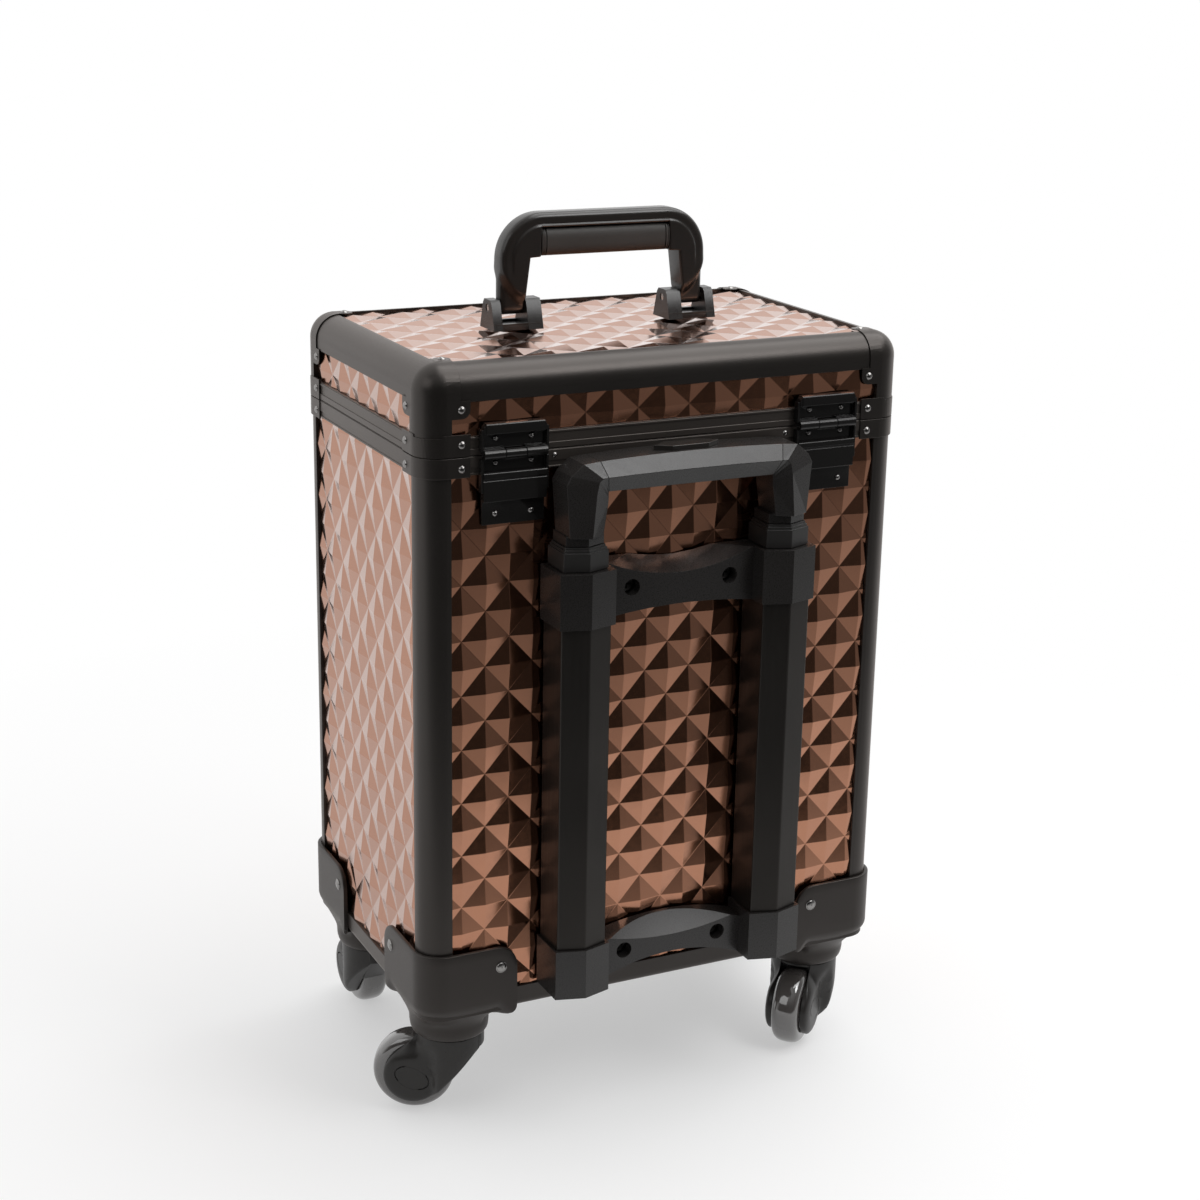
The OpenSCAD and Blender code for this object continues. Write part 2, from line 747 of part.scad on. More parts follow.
module hinge_body_leaves() {
    y0 = 2 * seat_gap;
    color(gloss_black) for (x = hinge_sides) at_side(0) translate([x, 0, 0]) {
        translate([-hinge_w / 2, y0, hinge_flange_z]) cube([hinge_w, hinge_leaf_t - seat_gap, hinge_box_z - hinge_flange_z]);
        translate([-hinge_w / 2, y0, hinge_box_z]) cube([hinge_w, 4.8, hinge_ridge_z - hinge_box_z]);
        translate([-hinge_w / 2, y0, hinge_ridge_z]) cube([hinge_w, hood_depth - y0, 4.5]);
        translate([-hinge_w / 2, y0, hinge_ridge_z]) cube([hinge_w, hinge_leaf_t - seat_gap, 13]);
        knuckle(-knuckle_l / 2 + knuckle_gap / 2, knuckle_l - knuckle_gap, false);
        for (i = [-1, 1]) translate([i * (hinge_w / 2 + 0.75) - 0.75, y0, hinge_box_z + 6])
            cube([1.5, 4.8, seam_z - 2 - hinge_box_z - 6]);
    }
}

module hinge_lid_leaves() {
    y0 = 2 * seat_gap;
    low = seam_z + 4.2;
    hood_z = seam_z + 14;
    top = seam_z + 20;
    color(gloss_black) for (x = hinge_sides) at_side(0) translate([x, 0, 0]) {
        translate([-hinge_w / 2, y0, low]) cube([hinge_w, hinge_leaf_t - seat_gap, hood_z - low]);
        translate([0, y0, 0]) rotate([-90, 0, 0]) linear_extrude(hood_depth - y0) {
            translate([-hinge_w / 2, 3.5 - top]) square([hinge_w, top - hood_z - 3.5]);
            translate([3.5 - hinge_w / 2, -top]) square([hinge_w - 7, 3.6]);
            for (i = [-1, 1]) translate([i * (hinge_w / 2 - 3.5), 3.5 - top]) circle(3.5);
        }
        for (i = [-1, 1]) {
            translate([i * (hinge_w / 2 + 0.75) - 0.75, y0, seam_z + 3]) cube([1.5, 4.8, top - 3.5 - seam_z - 3]);
            knuckle(i < 0 ? -hinge_w / 2 : knuckle_l / 2 + knuckle_gap / 2, knuckle_l - knuckle_gap / 2, true);
        }
    }
}

latch_plate_t = 1.6;
latch_low_z = seam_z - 36;
latch_pin_z = seam_z - 24;

module pivot_pins() {
    color(steel) {
        for (x = hinge_sides) at_side(0) translate([x - hinge_w / 2 + 0.3, hinge_out, hinge_z]) rotate([0, 90, 0])
            cylinder(h = hinge_w - 0.6, r = small_pin_r);
        for (x = latch_sides) at_side(1) translate([x - latch_w / 2 + 0.3, latch_out, latch_pin_z]) rotate([0, 90, 0])
            cylinder(h = latch_w - 0.6, r = small_pin_r);
    }
}

module latch_bases() {
    y0 = 2 * seat_gap;
    color(gloss_black) for (x = latch_sides) at_side(1) translate([x, 0, 0]) {
        translate([-latch_w / 2, y0, latch_low_z]) cube([latch_w, latch_plate_t - seat_gap, seam_z - 2 - latch_low_z]);
        for (i = [-1, 1]) difference() {
            translate([i * (latch_w / 2 - 1) - 1, y0, latch_pin_z - 4]) cube([2, latch_out + 1.8, 8]);
            translate([i * (latch_w / 2 - 1) - 2, latch_out, latch_pin_z]) rotate([0, 90, 0])
                cylinder(h = 4, r = small_pin_r + press_gap);
        }
    }
}

// A lever hangs on its pin and reaches up in front of the lid's catch bar
module latch_lever(x) {
    w = latch_w - 4 - 2 * move_gap;
    color(gloss_black) at_side(1) translate([x, 0, 0]) difference() {
        union() {
            translate([-w / 2, latch_out, latch_pin_z]) rotate([0, 90, 0]) cylinder(h = w, r = 3);
            translate([-w / 2, latch_out, latch_pin_z]) cube([w, 3, latch_top_z - latch_pin_z]);
            translate([-w / 2, latch_out + 2, latch_top_z - 3.5]) cube([w, 4, 3.5]);
        }
        translate([-w / 2 - 1, latch_out, latch_pin_z]) rotate([0, 90, 0]) cylinder(h = w + 2, r = small_pin_r + run_gap);
    }
}

latch_top_z = seam_z + 13;

module latch_lever_left() {
    latch_lever(latch_x);
}

module latch_lever_right() {
    latch_lever(-latch_x);
}

module latch_keepers() {
    y0 = 2 * seat_gap;
    w = latch_w - 8;
    color(gloss_black) for (x = latch_sides) at_side(1) translate([x, 0, 0]) {
        translate([-latch_w / 2, y0, seam_z + 2]) cube([latch_w, latch_plate_t - seat_gap, 17]);
        translate([-w / 2, latch_out - 2.5 - move_gap, seam_z + 9]) rotate([0, 90, 0]) cylinder(h = w, r = 2.5);
        translate([-w / 2, y0, seam_z + 7.5]) cube([w, latch_out - 2.5, 3]);
    }
}

module lid_wall(side, shift_u) {
    low = seam_z + seam_gap + rim_h - slot_depth + 0.3;
    high = top_z - top_rail_h + slot_depth - 0.3;
    window_low = seam_z + seam_gap + rim_h + seat_gap;
    window_high = top_z - top_rail_h - seat_gap;
    mid = (low + high) / 2;
    at_side(side) translate([0, -face_in, mid]) rotate([90, 0, 180])
        diamond_board(side_length(side) - 2 * board_edge, high - low,
            side_length(side) - 2 * (post_w + seat_gap), window_high - window_low,
            (window_low + window_high) / 2 - mid, [diamond_b, diamond_a], [shift_u, strip_star_z - mid]);
}

module lid_side_panels() {
    color(rose) {
        lid_wall(0, strip_star_x);
        lid_wall(1, 0);
        lid_wall(2, strip_star_x);
        lid_wall(3, -strip_star_x);
    }
}

module lid_top_panel() {
    w = case_w - 2 * board_edge;
    d = case_d - 2 * board_edge;
    color(rose) at_case() translate([0, 0, top_z - face_in])
        diamond_board(w, d, case_w - 2 * (edge_r + seat_gap), case_d - 2 * (edge_r + seat_gap), 0,
            [diamond_b, diamond_a], [0, 0]);
}

module lid_rim() {
    low = seam_z + seam_gap;
    color(satin_black) difference() {
        at_case() translate([0, 0, low]) linear_extrude(rim_h) outline_ring(0, leg_in);
        rim_slots(low + rim_h - slot_depth, slot_depth + 1);
        at_case() translate([0, 0, low - 1]) linear_extrude(tongue_h + 1 + seat_gap)
            outline_ring(tongue_in - 0.3, tongue_in + tongue_t + 0.3);
    }
}

// Section of a lid top rail: depth from the face, height
module top_rail_section() {
    h = top_rail_h - seat_gap;
    difference() {
        union() {
            square([edge_r, h - edge_r]);
            intersection() {
                translate([edge_r, h - edge_r]) circle(edge_r);
                translate([0, h - edge_r]) square(edge_r);
            }
        }
        translate([leg_in, -1]) square([edge_r, h - leg_in + 1]);
        translate([lip_t, -1]) square([slot_out - lip_t, slot_depth + 1]);
        translate([slot_end, h - slot_out]) square([edge_r, slot_out - lip_t]);
    }
}

module lid_top_rails() {
    color(satin_black) for (side = [0:3]) {
        run = side_length(side) - 2 * (cap_reach + seat_gap * 2);
        at_side(side) translate([run / 2, 0, top_z - top_rail_h + seat_gap]) rotate([90, 0, -90])
            linear_extrude(run) top_rail_section();
    }
}

// A block from the corner whose vertical edge and two top edges are round
module rounded_corner_block(reach, low, high, r) {
    up = high - r - low;
    intersection() {
        union() {
            translate([r, r, high - r]) sphere(r);
            translate([r, r, low]) cylinder(h = up, r = r);
            translate([r, r, high - r]) rotate([0, 90, 0]) cylinder(h = reach - r, r = r);
            translate([r, r, high - r]) rotate([-90, 0, 0]) cylinder(h = reach - r, r = r);
        }
        translate([0, 0, low]) cube([reach, reach, high - low]);
    }
    translate([r, r, low]) cube([reach - r, reach - r, high - low]);
    translate([r, 0, low]) cube([reach - r, r, up]);
    translate([0, r, low]) cube([r, reach - r, up]);
}

module lid_corner_caps() {
    low = seam_z + seam_gap + rim_h + seat_gap;
    p = cap_proud;
    strip_top = top_z - top_rail_h;
    ear_r = 5.5;
    color(satin_black) at_each_corner() {
        difference() {
            translate([-p, -p, 0]) rounded_corner_block(cap_reach + p, low, top_z + p, edge_r + p);
            // the part beside the strips is as narrow as a post
            translate([post_w, -cap_reach, low - 1]) cube([cap_reach, 3 * cap_reach, strip_top - low + 1]);
            translate([-cap_reach, post_w, low - 1]) cube([3 * cap_reach, cap_reach, strip_top - low + 1]);
            // the hollow inside the legs and below the top board
            translate([leg_in, leg_in, low - 1]) cube([cap_reach, cap_reach, top_z - leg_in - low + 1]);
            // slots for the boards
            translate([slot_end, lip_t, low - 1]) cube([cap_reach, slot_out - lip_t, strip_top + slot_depth - low + 1]);
            translate([lip_t, slot_end, low - 1]) cube([slot_out - lip_t, cap_reach, strip_top + slot_depth - low + 1]);
            translate([slot_end, slot_end, top_z - slot_out]) cube([cap_reach, cap_reach, slot_out - lip_t]);
            translate([edge_r, edge_r, top_z - slot_out]) cube([cap_reach, cap_reach, slot_out + p + 1]);
        }
        // ears on the strips and on the top
        translate([0, -p, 0]) rotate([-90, 0, 0]) linear_extrude(p - seat_gap) ear_patch(ear_r);
        translate([-p, 0, 0]) rotate([-90, 0, -90]) mirror([1, 0, 0]) linear_extrude(p - seat_gap) ear_patch(ear_r);
        translate([0, 0, top_z + seat_gap]) linear_extrude(p - seat_gap) intersection() {
            translate([edge_r - 1, edge_r - 1]) square(20);
            union() {
                translate([cap_top_rivet, cap_top_rivet]) circle(ear_r);
                translate([edge_r - 1, edge_r - 1]) square([cap_top_rivet - edge_r + 1, cap_top_rivet - edge_r + 1]);
            }
        }
    }
}

// An ear that hangs below a cap beside the post: x along the face, y down
module ear_patch(r) {
    strip_top = top_z - top_rail_h;
    translate([rivet_in, -cap_rivet_z]) circle(r);
    translate([post_w - 1, -strip_top - 1]) square([rivet_in + r - post_w + 1, strip_top - cap_rivet_z + 1]);
    translate([post_w - 1, -strip_top - 1]) square([rivet_in - post_w + 1, strip_top - cap_rivet_z + 1 + r]);
}

module lid_seam_plates() {
    color(satin_black) at_each_corner() translate([0, 0, seam_z + seam_gap + 0.1])
        difference() {
            seam_plate(rim_h + 1.6);
            // the lower end of the lid's cap is thicker than the rim
            translate([-cap_proud - 0.1, -cap_proud - 0.1, rim_h - 0.1]) cube([post_w + 1, post_w + 1, 5]);
        }
}

module lid_rivets() {
    color(steel) {
        corner_rivets(rivet_in, rivet_in, seam_z + seam_rivet_z, plate_off);
        corner_rivets(rivet_in, rivet_in, cap_rivet_z, cap_proud + seat_gap);
        at_each_corner() translate([cap_top_rivet, cap_top_rivet, top_z + cap_proud + seat_gap])
            rivet_head(rivet_d, rivet_h);
        for (x = hinge_sides, i = [-1, 1]) at_side(0)
            translate([x + i * hinge_rivet_x, hinge_leaf_t + 2 * seat_gap, seam_z + 10.3])
                rotate([-90, 0, 0]) rivet_head(rivet_d - 1, rivet_h);
    }
}

lid_lining_low = seam_z + seam_gap + 2;
lid_lining_high = top_z - leg_in - 2 * seat_gap;

module lid_lining() {
    color(black) lining_box(lid_lining_low, lid_lining_high, false);
}

// The right-hand base of the carry handle: two trapezoid cheeks joined by bars at the foot
module handle_base() {
    outer = base_gap / 2 + cheek_t;
    inner = base_gap / 2 + inner_cheek_t;
    low = top_z + seat_gap;
    difference() {
        union() {
            for (cheek = [[-inner, inner_cheek_t], [base_gap / 2, cheek_t]])
                translate([cheek[0], 0, 0]) rotate([90, 0, 90]) linear_extrude(cheek[1]) polygon([
                    [-base_d / 2, low], [base_d / 2, low], [base_d / 2 - 1.5, low + 5],
                    [7, pivot_z + 3], [5, pivot_z + 5.5], [-5, pivot_z + 5.5],
                    [-7, pivot_z + 3], [-base_d / 2 + 1.5, low + 5]
                ]);
            translate([-inner, -base_d / 2 + 1, low]) cube([inner + outer, base_d - 2, 2.5]);
            for (i = [-1, 1]) translate([-inner, i * (base_d / 2 - 2.6) - 1.5, low])
                cube([inner + outer, 3, 4.2]);
        }
        translate([-inner - 1, 0, pivot_z]) rotate([0, 90, 0])
            cylinder(h = inner + outer + 2, r = handle_pin_r + press_gap);
    }
}

module handle_bases() {
    color(black) at_case() for (i = [0, 1]) mirror([i, 0, 0]) translate([handle_x, 0, 0]) handle_base();
}

module handle_pins() {
    outer = base_gap / 2 + cheek_t - 0.5;
    inner = base_gap / 2 + inner_cheek_t - 0.5;
    color(steel) at_case() for (i = [0, 1]) mirror([i, 0, 0]) translate([handle_x - inner, 0, pivot_z])
        rotate([0, 90, 0]) cylinder(h = inner + outer, r = handle_pin_r);
}

handle_half = handle_x + leg_w / 2;
grip_half = handle_x - leg_w / 2 - 10.5;
arm_open = handle_x - leg_w / 2 - 4.5;
handle_corner_r = 30;
handle_grip_low = handle_top_z - 28.5;
handle_grip_high = handle_top_z - 9.5;
leg_t = 10;

module handle_front() {
    top = handle_top_z;
    r = handle_corner_r;
    difference() {
        union() {
            translate([-handle_half, pivot_z + 12]) square([2 * handle_half, top - r - pivot_z - 12]);
            translate([-handle_half + r, pivot_z + 12]) square([2 * (handle_half - r), top - pivot_z - 12]);
            intersection() {
                for (i = [-1, 1]) translate([i * (handle_half - r), top - r]) circle(r);
                translate([-handle_half, top - r]) square([2 * handle_half, r]);
            }
        }
        translate([-arm_open, pivot_z]) square([2 * arm_open, handle_grip_low - pivot_z]);
        translate([-grip_half, pivot_z]) square([2 * grip_half, handle_grip_high - pivot_z]);
        // the arms narrow towards the legs
        for (i = [-1, 1]) translate([i * (arm_open + handle_x - leg_w / 2) / 2 - 2.3, pivot_z + 11]) square([4.6, 10]);
    }
}

module carry_handle() {
    color(gloss_black) at_case() difference() {
        union() {
            translate([0, handle_t / 2, 0]) rotate([90, 0, 0]) linear_extrude(handle_t) handle_front();
            for (i = [-1, 1]) translate([i * handle_x - leg_w / 2, 0, 0]) {
                translate([0, -leg_t / 2, pivot_z]) cube([leg_w, leg_t, 14]);
                translate([0, 0, pivot_z]) rotate([0, 90, 0]) cylinder(h = leg_w, r = leg_t / 2);
            }
        }
        translate([-half_w, 0, pivot_z]) rotate([0, 90, 0]) cylinder(h = case_w, r = handle_pin_r + run_gap);
    }
}

module handle_grip() {
    h = handle_grip_high - handle_grip_low - seat_gap;
    color(black) at_case() translate([-grip_half + seat_gap, 0, handle_grip_low + h / 2]) rotate([90, 0, 90])
        linear_extrude(2 * (grip_half - seat_gap)) round_rect(handle_t + 1, h, 7);
}

module middle_tubes() {
    color(gloss_black) at_rails() tube(mid_bottom_z, mid_collar_z - mid_bottom_z, mid_shrink, tube_wall);
}

// A stepped collar on the end of each middle tube
module middle_collars() {
    z = mid_collar_z + seat_gap;
    color(black) at_rails() difference() {
        union() {
            translate([0, 0, z]) linear_extrude(mid_collar_h - 3.5) rail_outline(1.8);
            translate([0, 0, z]) linear_extrude(mid_collar_h - 1.7) rail_outline(2.6);
            translate([0, 0, z]) linear_extrude(mid_collar_h - seat_gap) rail_outline(3.4);
        }
        translate([0, 0, z - 1]) linear_extrude(mid_collar_h + 2) rail_outline(inner_shrink - slide_gap);
    }
}

module inner_tubes() {
    color(gloss_black) at_rails()
        tube(inner_bottom_z, grip_foot_z - seat_gap - inner_bottom_z, inner_shrink, tube_wall);
}

rod_r = 2.5;
rod_y = grip_mid_y;

// A solid lofted through stations of five points: outer, outer side, ridge, inner side, inner
module grip_loft(stations) {
    n = len(stations);
    points = [for (s = stations) each [
        [s[0][0], grip_back_y, s[0][1]], [s[0][0], grip_side_y, s[0][1]], [s[1][0], grip_ridge_y, s[1][1]],
        [s[2][0], grip_side_y, s[2][1]], [s[2][0], grip_back_y, s[2][1]]]];
    sides = [for (k = [0:n - 2], i = [0:4], t = [0, 1]) let (a = 5 * k + i, b = 5 * k + (i + 1) % 5)
        t == 0 ? [a, b + 5, b] : [a, a + 5, b + 5]];
    polyhedron(points, concat([[0, 1, 2, 3, 4]], sides, [[for (i = [4:-1:0]) 5 * (n - 1) + i]]));
}

grip_outer_x = rail_x + 14.8;
grip_open_x = rail_x - 13.7;
grip_ridge_rise = 10.2;
grip_ridge_x = grip_open_x + (grip_joint_x - grip_open_x) * grip_ridge_rise / grip_bar_h;

// The right-hand elbow, from the foot of its leg to the joint with the bar
elbow_stations = [
    [[grip_outer_x - 2.6, grip_leg_z], [rail_x - 0.5, grip_leg_z], [grip_open_x + 3.2, grip_leg_z]],
    [[grip_outer_x, grip_top_z - 13.5], [rail_x - 3, grip_under_z + 1], [grip_open_x + 0.2, grip_under_z - 8]],
    [[grip_outer_x - 3, grip_top_z - 8], [rail_x - 4.5, grip_under_z + 8], [grip_open_x, grip_under_z - 4]],
    [[grip_outer_x - 11.5, grip_top_z - 1], [rail_x - 7, grip_under_z + 10], [grip_open_x, grip_under_z - 1.5]],
    [[grip_joint_x, grip_top_z], [grip_ridge_x, grip_under_z + grip_ridge_rise], [grip_open_x, grip_under_z]]
];

module rod_channel(reach) {
    at_side(0) translate([-reach, rod_y - 5, channel_z]) cube([2 * reach, 10, channel_h]);
}

// Each elbow plugs into its inner tube
module grip_elbows() {
    color(black) difference() {
        union() {
            for (i = [0, 1]) at_side(0) mirror([i, 0, 0]) grip_loft(elbow_stations);
            at_rails() translate([0, 0, grip_foot_z]) linear_extrude(grip_ring_h + 0.5) rail_outline(4.2);
            at_rails() translate([0, 0, grip_foot_z - grip_plug_h]) linear_extrude(grip_plug_h + 1)
                rail_outline(inner_shrink + tube_wall + seat_gap);
        }
        at_rails() translate([0, rod_y, grip_foot_z - grip_plug_h - 1])
            cylinder(h = channel_z - grip_foot_z + grip_plug_h + 4, r = rod_r + 0.7);
        rod_channel(rail_x + 5);
    }
}

// A boat-shaped outline, widened all round by grow
module button_outline(grow) {
    l = button_l / 2 + grow;
    w = button_w / 2 + grow;
    polygon([[-l, 0], [-l * 0.55, -w], [l * 0.55, -w], [l, 0], [l * 0.55, w], [-l * 0.55, w]]);
}

module grip_bar() {
    top = grip_top_z;
    ridge = grip_under_z + grip_ridge_rise;
    low = grip_under_z;
    color(black) difference() {
        at_side(0) grip_loft([for (k = [4:-1:-4]) let (t = k / 4, lift = grip_crown * (1 - t * t)) [
            [t * (grip_joint_x - seat_gap), top + lift],
            [t * (grip_ridge_x - seat_gap), ridge + lift / 2],
            [t * (grip_open_x - seat_gap), low]
        ]]);
        rod_channel(rail_x);
        at_side(0) translate([0, grip_mid_y, channel_z + 0.5]) linear_extrude(channel_h - 1)
            button_outline(button_flange + move_gap);
        at_side(0) translate([0, grip_mid_y, channel_z + 3]) linear_extrude(40) button_outline(move_gap);
    }
}

// The button's flange keeps it inside the bar
module grip_button() {
    color(gloss_black) at_side(0) translate([0, grip_mid_y, button_low_z]) {
        linear_extrude(button_top_z - button_low_z) button_outline(0);
        linear_extrude(button_flange_t) button_outline(button_flange);
    }
}

module release_rods() {
    low = inner_bottom_z + 20;
    color(steel) {
        at_side(0) translate([-rail_x - 2.5, rod_y - 2.5, rod_z]) cube([rail_spacing + 5, 5, rod_bar_h]);
        at_rails() translate([0, rod_y, low]) cylinder(h = rod_z + 1 - low, r = rod_r);
    }
}

// Local frame of a caster: origin under the swivel axis, x towards the axle
module at_caster(corner) {
    at_case() translate([corner[0] * (half_w - swivel_in_x), corner[1] * (half_d - swivel_in_y), 0])
        rotate([0, 0, corner[2]]) children();
}

module fork(corner) {
    low = swivel_z - 10;
    color(satin_black) at_caster(corner) difference() {
        intersection() {
            translate([0, fork_top_r, 0]) rotate([90, 0, 0]) linear_extrude(2 * fork_top_r) hull() {
                translate([trail, axle_z]) circle(fork_end_r);
                translate([-fork_top_r, low]) square([2 * fork_top_r, swivel_z - low]);
            }
            translate([0, 0, -1]) linear_extrude(swivel_z + 1) hull() {
                circle(fork_top_r);
                translate([trail, -fork_outer]) square([fork_end_r + 2, 2 * fork_outer]);
            }
        }
        translate([trail, fork_inner, axle_z]) rotate([90, 0, 0]) cylinder(h = 2 * fork_inner, r = wheel_clear);
        translate([0, 0, pin_bottom_z - 0.5]) cylinder(h = 30, r = swivel_pin_r + run_gap);
        translate([trail, fork_top_r + 1, axle_z]) rotate([90, 0, 0])
            cylinder(h = 2 * fork_top_r + 2, r = axle_r + press_gap);
        for (i = [-1, 1]) translate([trail, i * (fork_outer + 9 - axle_cap_t - seat_gap), axle_z]) rotate([90, 0, 0])
            cylinder(h = 18, r = axle_cap_r, center = true);
    }
}

module axle(corner) {
    color(steel) at_caster(corner) translate([trail, 0, axle_z]) rotate([90, 0, 0]) {
        cylinder(h = 2 * (fork_outer - axle_cap_t - 2 * seat_gap), r = axle_r, center = true);
        for (i = [-1, 1]) translate([0, 0, i * (fork_outer - axle_cap_t / 2)])
            cylinder(h = axle_cap_t, r = axle_cap_r - 0.3, center = true);
    }
}

module hub(corner) {
    color(black) at_caster(corner) translate([trail, 0, axle_z]) rotate([90, 0, 0]) rotate_extrude() difference() {
        translate([axle_r + run_gap, -wheel_w / 2]) square([hub_r - axle_r - run_gap, wheel_w]);
        for (i = [0, 1]) mirror([0, i]) translate([7, wheel_w / 2 - 3]) square([hub_r - 10, 4]);
    }
}

tyre_edge_r = 5;

module tyre(corner) {
    r = wheel_d / 2;
    rise = tyre_edge_r;
    color(gloss_black) at_caster(corner) translate([trail, 0, axle_z]) rotate([90, 0, 0]) rotate_extrude() union() {
        translate([hub_r + press_gap, -wheel_w / 2]) square([r - rise - hub_r - press_gap, wheel_w]);
        translate([r - rise - 1, -wheel_w / 2 + rise]) square([rise + 1, wheel_w - 2 * rise]);
        for (i = [-1, 1]) translate([r - rise, i * (wheel_w / 2 - rise)]) circle(rise);
    }
}

back_panel();
front_panel();
side_panels();
bottom_panel();
corner_posts();
body_rim();
bottom_rails();
body_seam_plates();
body_rivets();
body_lining();
caster_brackets();
swivel_pins();
trolley_rails();
upper_bracket();
lower_bracket();
bracket_screws();
hinge_body_leaves();
pivot_pins();
latch_bases();
lid_top_panel();
lid_side_panels();
lid_rim();
lid_top_rails();
lid_corner_caps();
lid_seam_plates();
lid_rivets();
lid_lining();
handle_bases();
handle_pins();
hinge_lid_leaves();
latch_keepers();
carry_handle();
handle_grip();
middle_tubes();
middle_collars();
inner_tubes();
grip_elbows();
grip_bar();
grip_button();
release_rods();
latch_lever_left();
latch_lever_right();
fork(rear_right);  // fork_rear_right
axle(rear_right);  // axle_rear_right
hub(rear_right);  // hub_rear_right
tyre(rear_right);  // tyre_rear_right
fork(front_right);  // fork_front_right
axle(front_right);  // axle_front_right
hub(front_right);  // hub_front_right
tyre(front_right);  // tyre_front_right
fork(rear_left);  // fork_rear_left
axle(rear_left);  // axle_rear_left
hub(rear_left);  // hub_rear_left
tyre(rear_left);  // tyre_rear_left
fork(front_left);  // fork_front_left
axle(front_left);  // axle_front_left
hub(front_left);  // hub_front_left
tyre(front_left);  // tyre_front_left
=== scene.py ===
import bmesh, bpy, json, math
import numpy as np
from mathutils import Matrix


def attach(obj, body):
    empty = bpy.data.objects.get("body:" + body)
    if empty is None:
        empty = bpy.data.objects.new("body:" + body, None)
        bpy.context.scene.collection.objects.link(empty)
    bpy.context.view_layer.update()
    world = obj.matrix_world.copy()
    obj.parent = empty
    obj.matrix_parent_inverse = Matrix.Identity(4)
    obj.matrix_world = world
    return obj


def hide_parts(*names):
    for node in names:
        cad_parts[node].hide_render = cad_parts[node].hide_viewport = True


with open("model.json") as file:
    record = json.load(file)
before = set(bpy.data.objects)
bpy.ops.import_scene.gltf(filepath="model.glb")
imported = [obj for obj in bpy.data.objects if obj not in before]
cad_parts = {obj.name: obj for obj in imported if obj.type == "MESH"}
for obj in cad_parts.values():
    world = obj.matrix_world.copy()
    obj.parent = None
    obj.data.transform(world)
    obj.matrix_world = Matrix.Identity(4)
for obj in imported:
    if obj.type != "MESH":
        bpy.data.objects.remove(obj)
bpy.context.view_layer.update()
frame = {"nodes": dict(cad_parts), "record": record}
mm = 0.001

# the case's own sizes in millimetres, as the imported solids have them; play is that of a sheet in its frame
case = {
    "width": 340, "depth": 218, "floorGap": 83, "seam": 461, "seamGap": 0.3, "top": 517, "middleY": -10,
    "post": 19, "rim": 12, "bottomRail": 15, "topRail": 22.5, "edge": 16, "play": 0.1,
}
middleY = case["middleY"]
halfW, halfD = case["width"] / 2, case["depth"] / 2
backY, frontY = middleY + halfD, middleY - halfD


def makePiece(name, points, faces):
    # a smooth mesh object from points in millimetres, one row each, and the corners of each face
    mesh = bpy.data.meshes.new(name)
    mesh.from_pydata((np.asarray(points) * mm).tolist(), [], [list(face) for face in faces])
    mesh.validate()
    mesh.polygons.foreach_set("use_smooth", [True] * len(mesh.polygons))
    piece = bpy.data.objects.new(name, mesh)
    bpy.context.collection.objects.link(piece)
    return piece


def gridFaces(rows, columns, wrapRows=False, wrapColumns=False):
    # quads of a grid of points, row after row; a wrapped side joins its last line to its first
    i = np.arange(rows if wrapRows else rows - 1)[:, None]
    j = np.arange(columns if wrapColumns else columns - 1)[None, :]
    i2, j2 = (i + 1) % rows, (j + 1) % columns
    quads = [i * columns + j, i * columns + j2, i2 * columns + j2, i2 * columns + j]
    return np.stack(np.broadcast_arrays(*quads), -1).reshape(-1, 4).tolist()


def tubeFaces(rings, around):
    # a closed skin over rings of points, with one flat face at each end
    faces = gridFaces(rings, around, wrapColumns=True)
    return faces + [list(range(around))[::-1], [(rings - 1) * around + k for k in range(around)]]


def joined(parts):
    # several sets of points and faces as one
    start, points, faces = 0, [], []
    for part, its in parts:
        points.append(np.asarray(part, float))
        faces += [[k + start for k in face] for face in its]
        start += len(part)
    return np.concatenate(points), faces


def arc(low, high, steps):
    # angles in radians, evenly spaced between two given in degrees
    return np.radians(np.linspace(low, high, steps))


def smooth(t):
    # eases from 0 to 1 with a level start and end: three t squared less two t cubed
    t = np.clip(t, 0, 1)
    return t * t * (3 - 2 * t)


def outward(piece):
    # turns every face of a closed piece to the outside
    work = bmesh.new()
    work.from_mesh(piece.data)
    bmesh.ops.remove_doubles(work, verts=work.verts, dist=1e-6)
    bmesh.ops.recalc_face_normals(work, faces=work.faces)
    work.to_mesh(piece.data)
    work.free()
    return piece


def addBevel(piece, name, width, angle, clamp):
    # two fine steps over every edge that turns by more than an angle in degrees
    bevel = piece.modifiers.new(name, "BEVEL")
    bevel.width = width * mm
    bevel.segments = 2
    bevel.limit_method = "ANGLE"
    bevel.angle_limit = math.radians(angle)
    bevel.harden_normals = True
    bevel.use_clamp_overlap = clamp


def softCopy(node, width, angle):
    # a node's own shape with its edges rounded, standing in for the node
    mesh = frame["nodes"][node].data.copy()
    mesh.name = node + "_soft"
    work = bmesh.new()
    work.from_mesh(mesh)
    bmesh.ops.remove_doubles(work, verts=work.verts, dist=2e-6)
    bmesh.ops.dissolve_limit(work, angle_limit=math.radians(0.6), verts=work.verts, edges=work.edges)
    work.to_mesh(mesh)
    work.free()
    mesh.polygons.foreach_set("use_smooth", [True] * len(mesh.polygons))
    mesh.set_sharp_from_angle(angle=math.radians(angle / 2))
    piece = bpy.data.objects.new(node + "_soft", mesh)
    bpy.context.collection.objects.link(piece)
    addBevel(piece, "rounding", width, angle, True)
    return piece


def place(piece, body, nodes, material):
    # gives a piece its material and its body, and hides the imported nodes that it stands in for
    piece.data.materials.clear()
    piece.data.materials.append(material)
    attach(piece, body)
    if nodes:
        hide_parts(*nodes)
    return piece


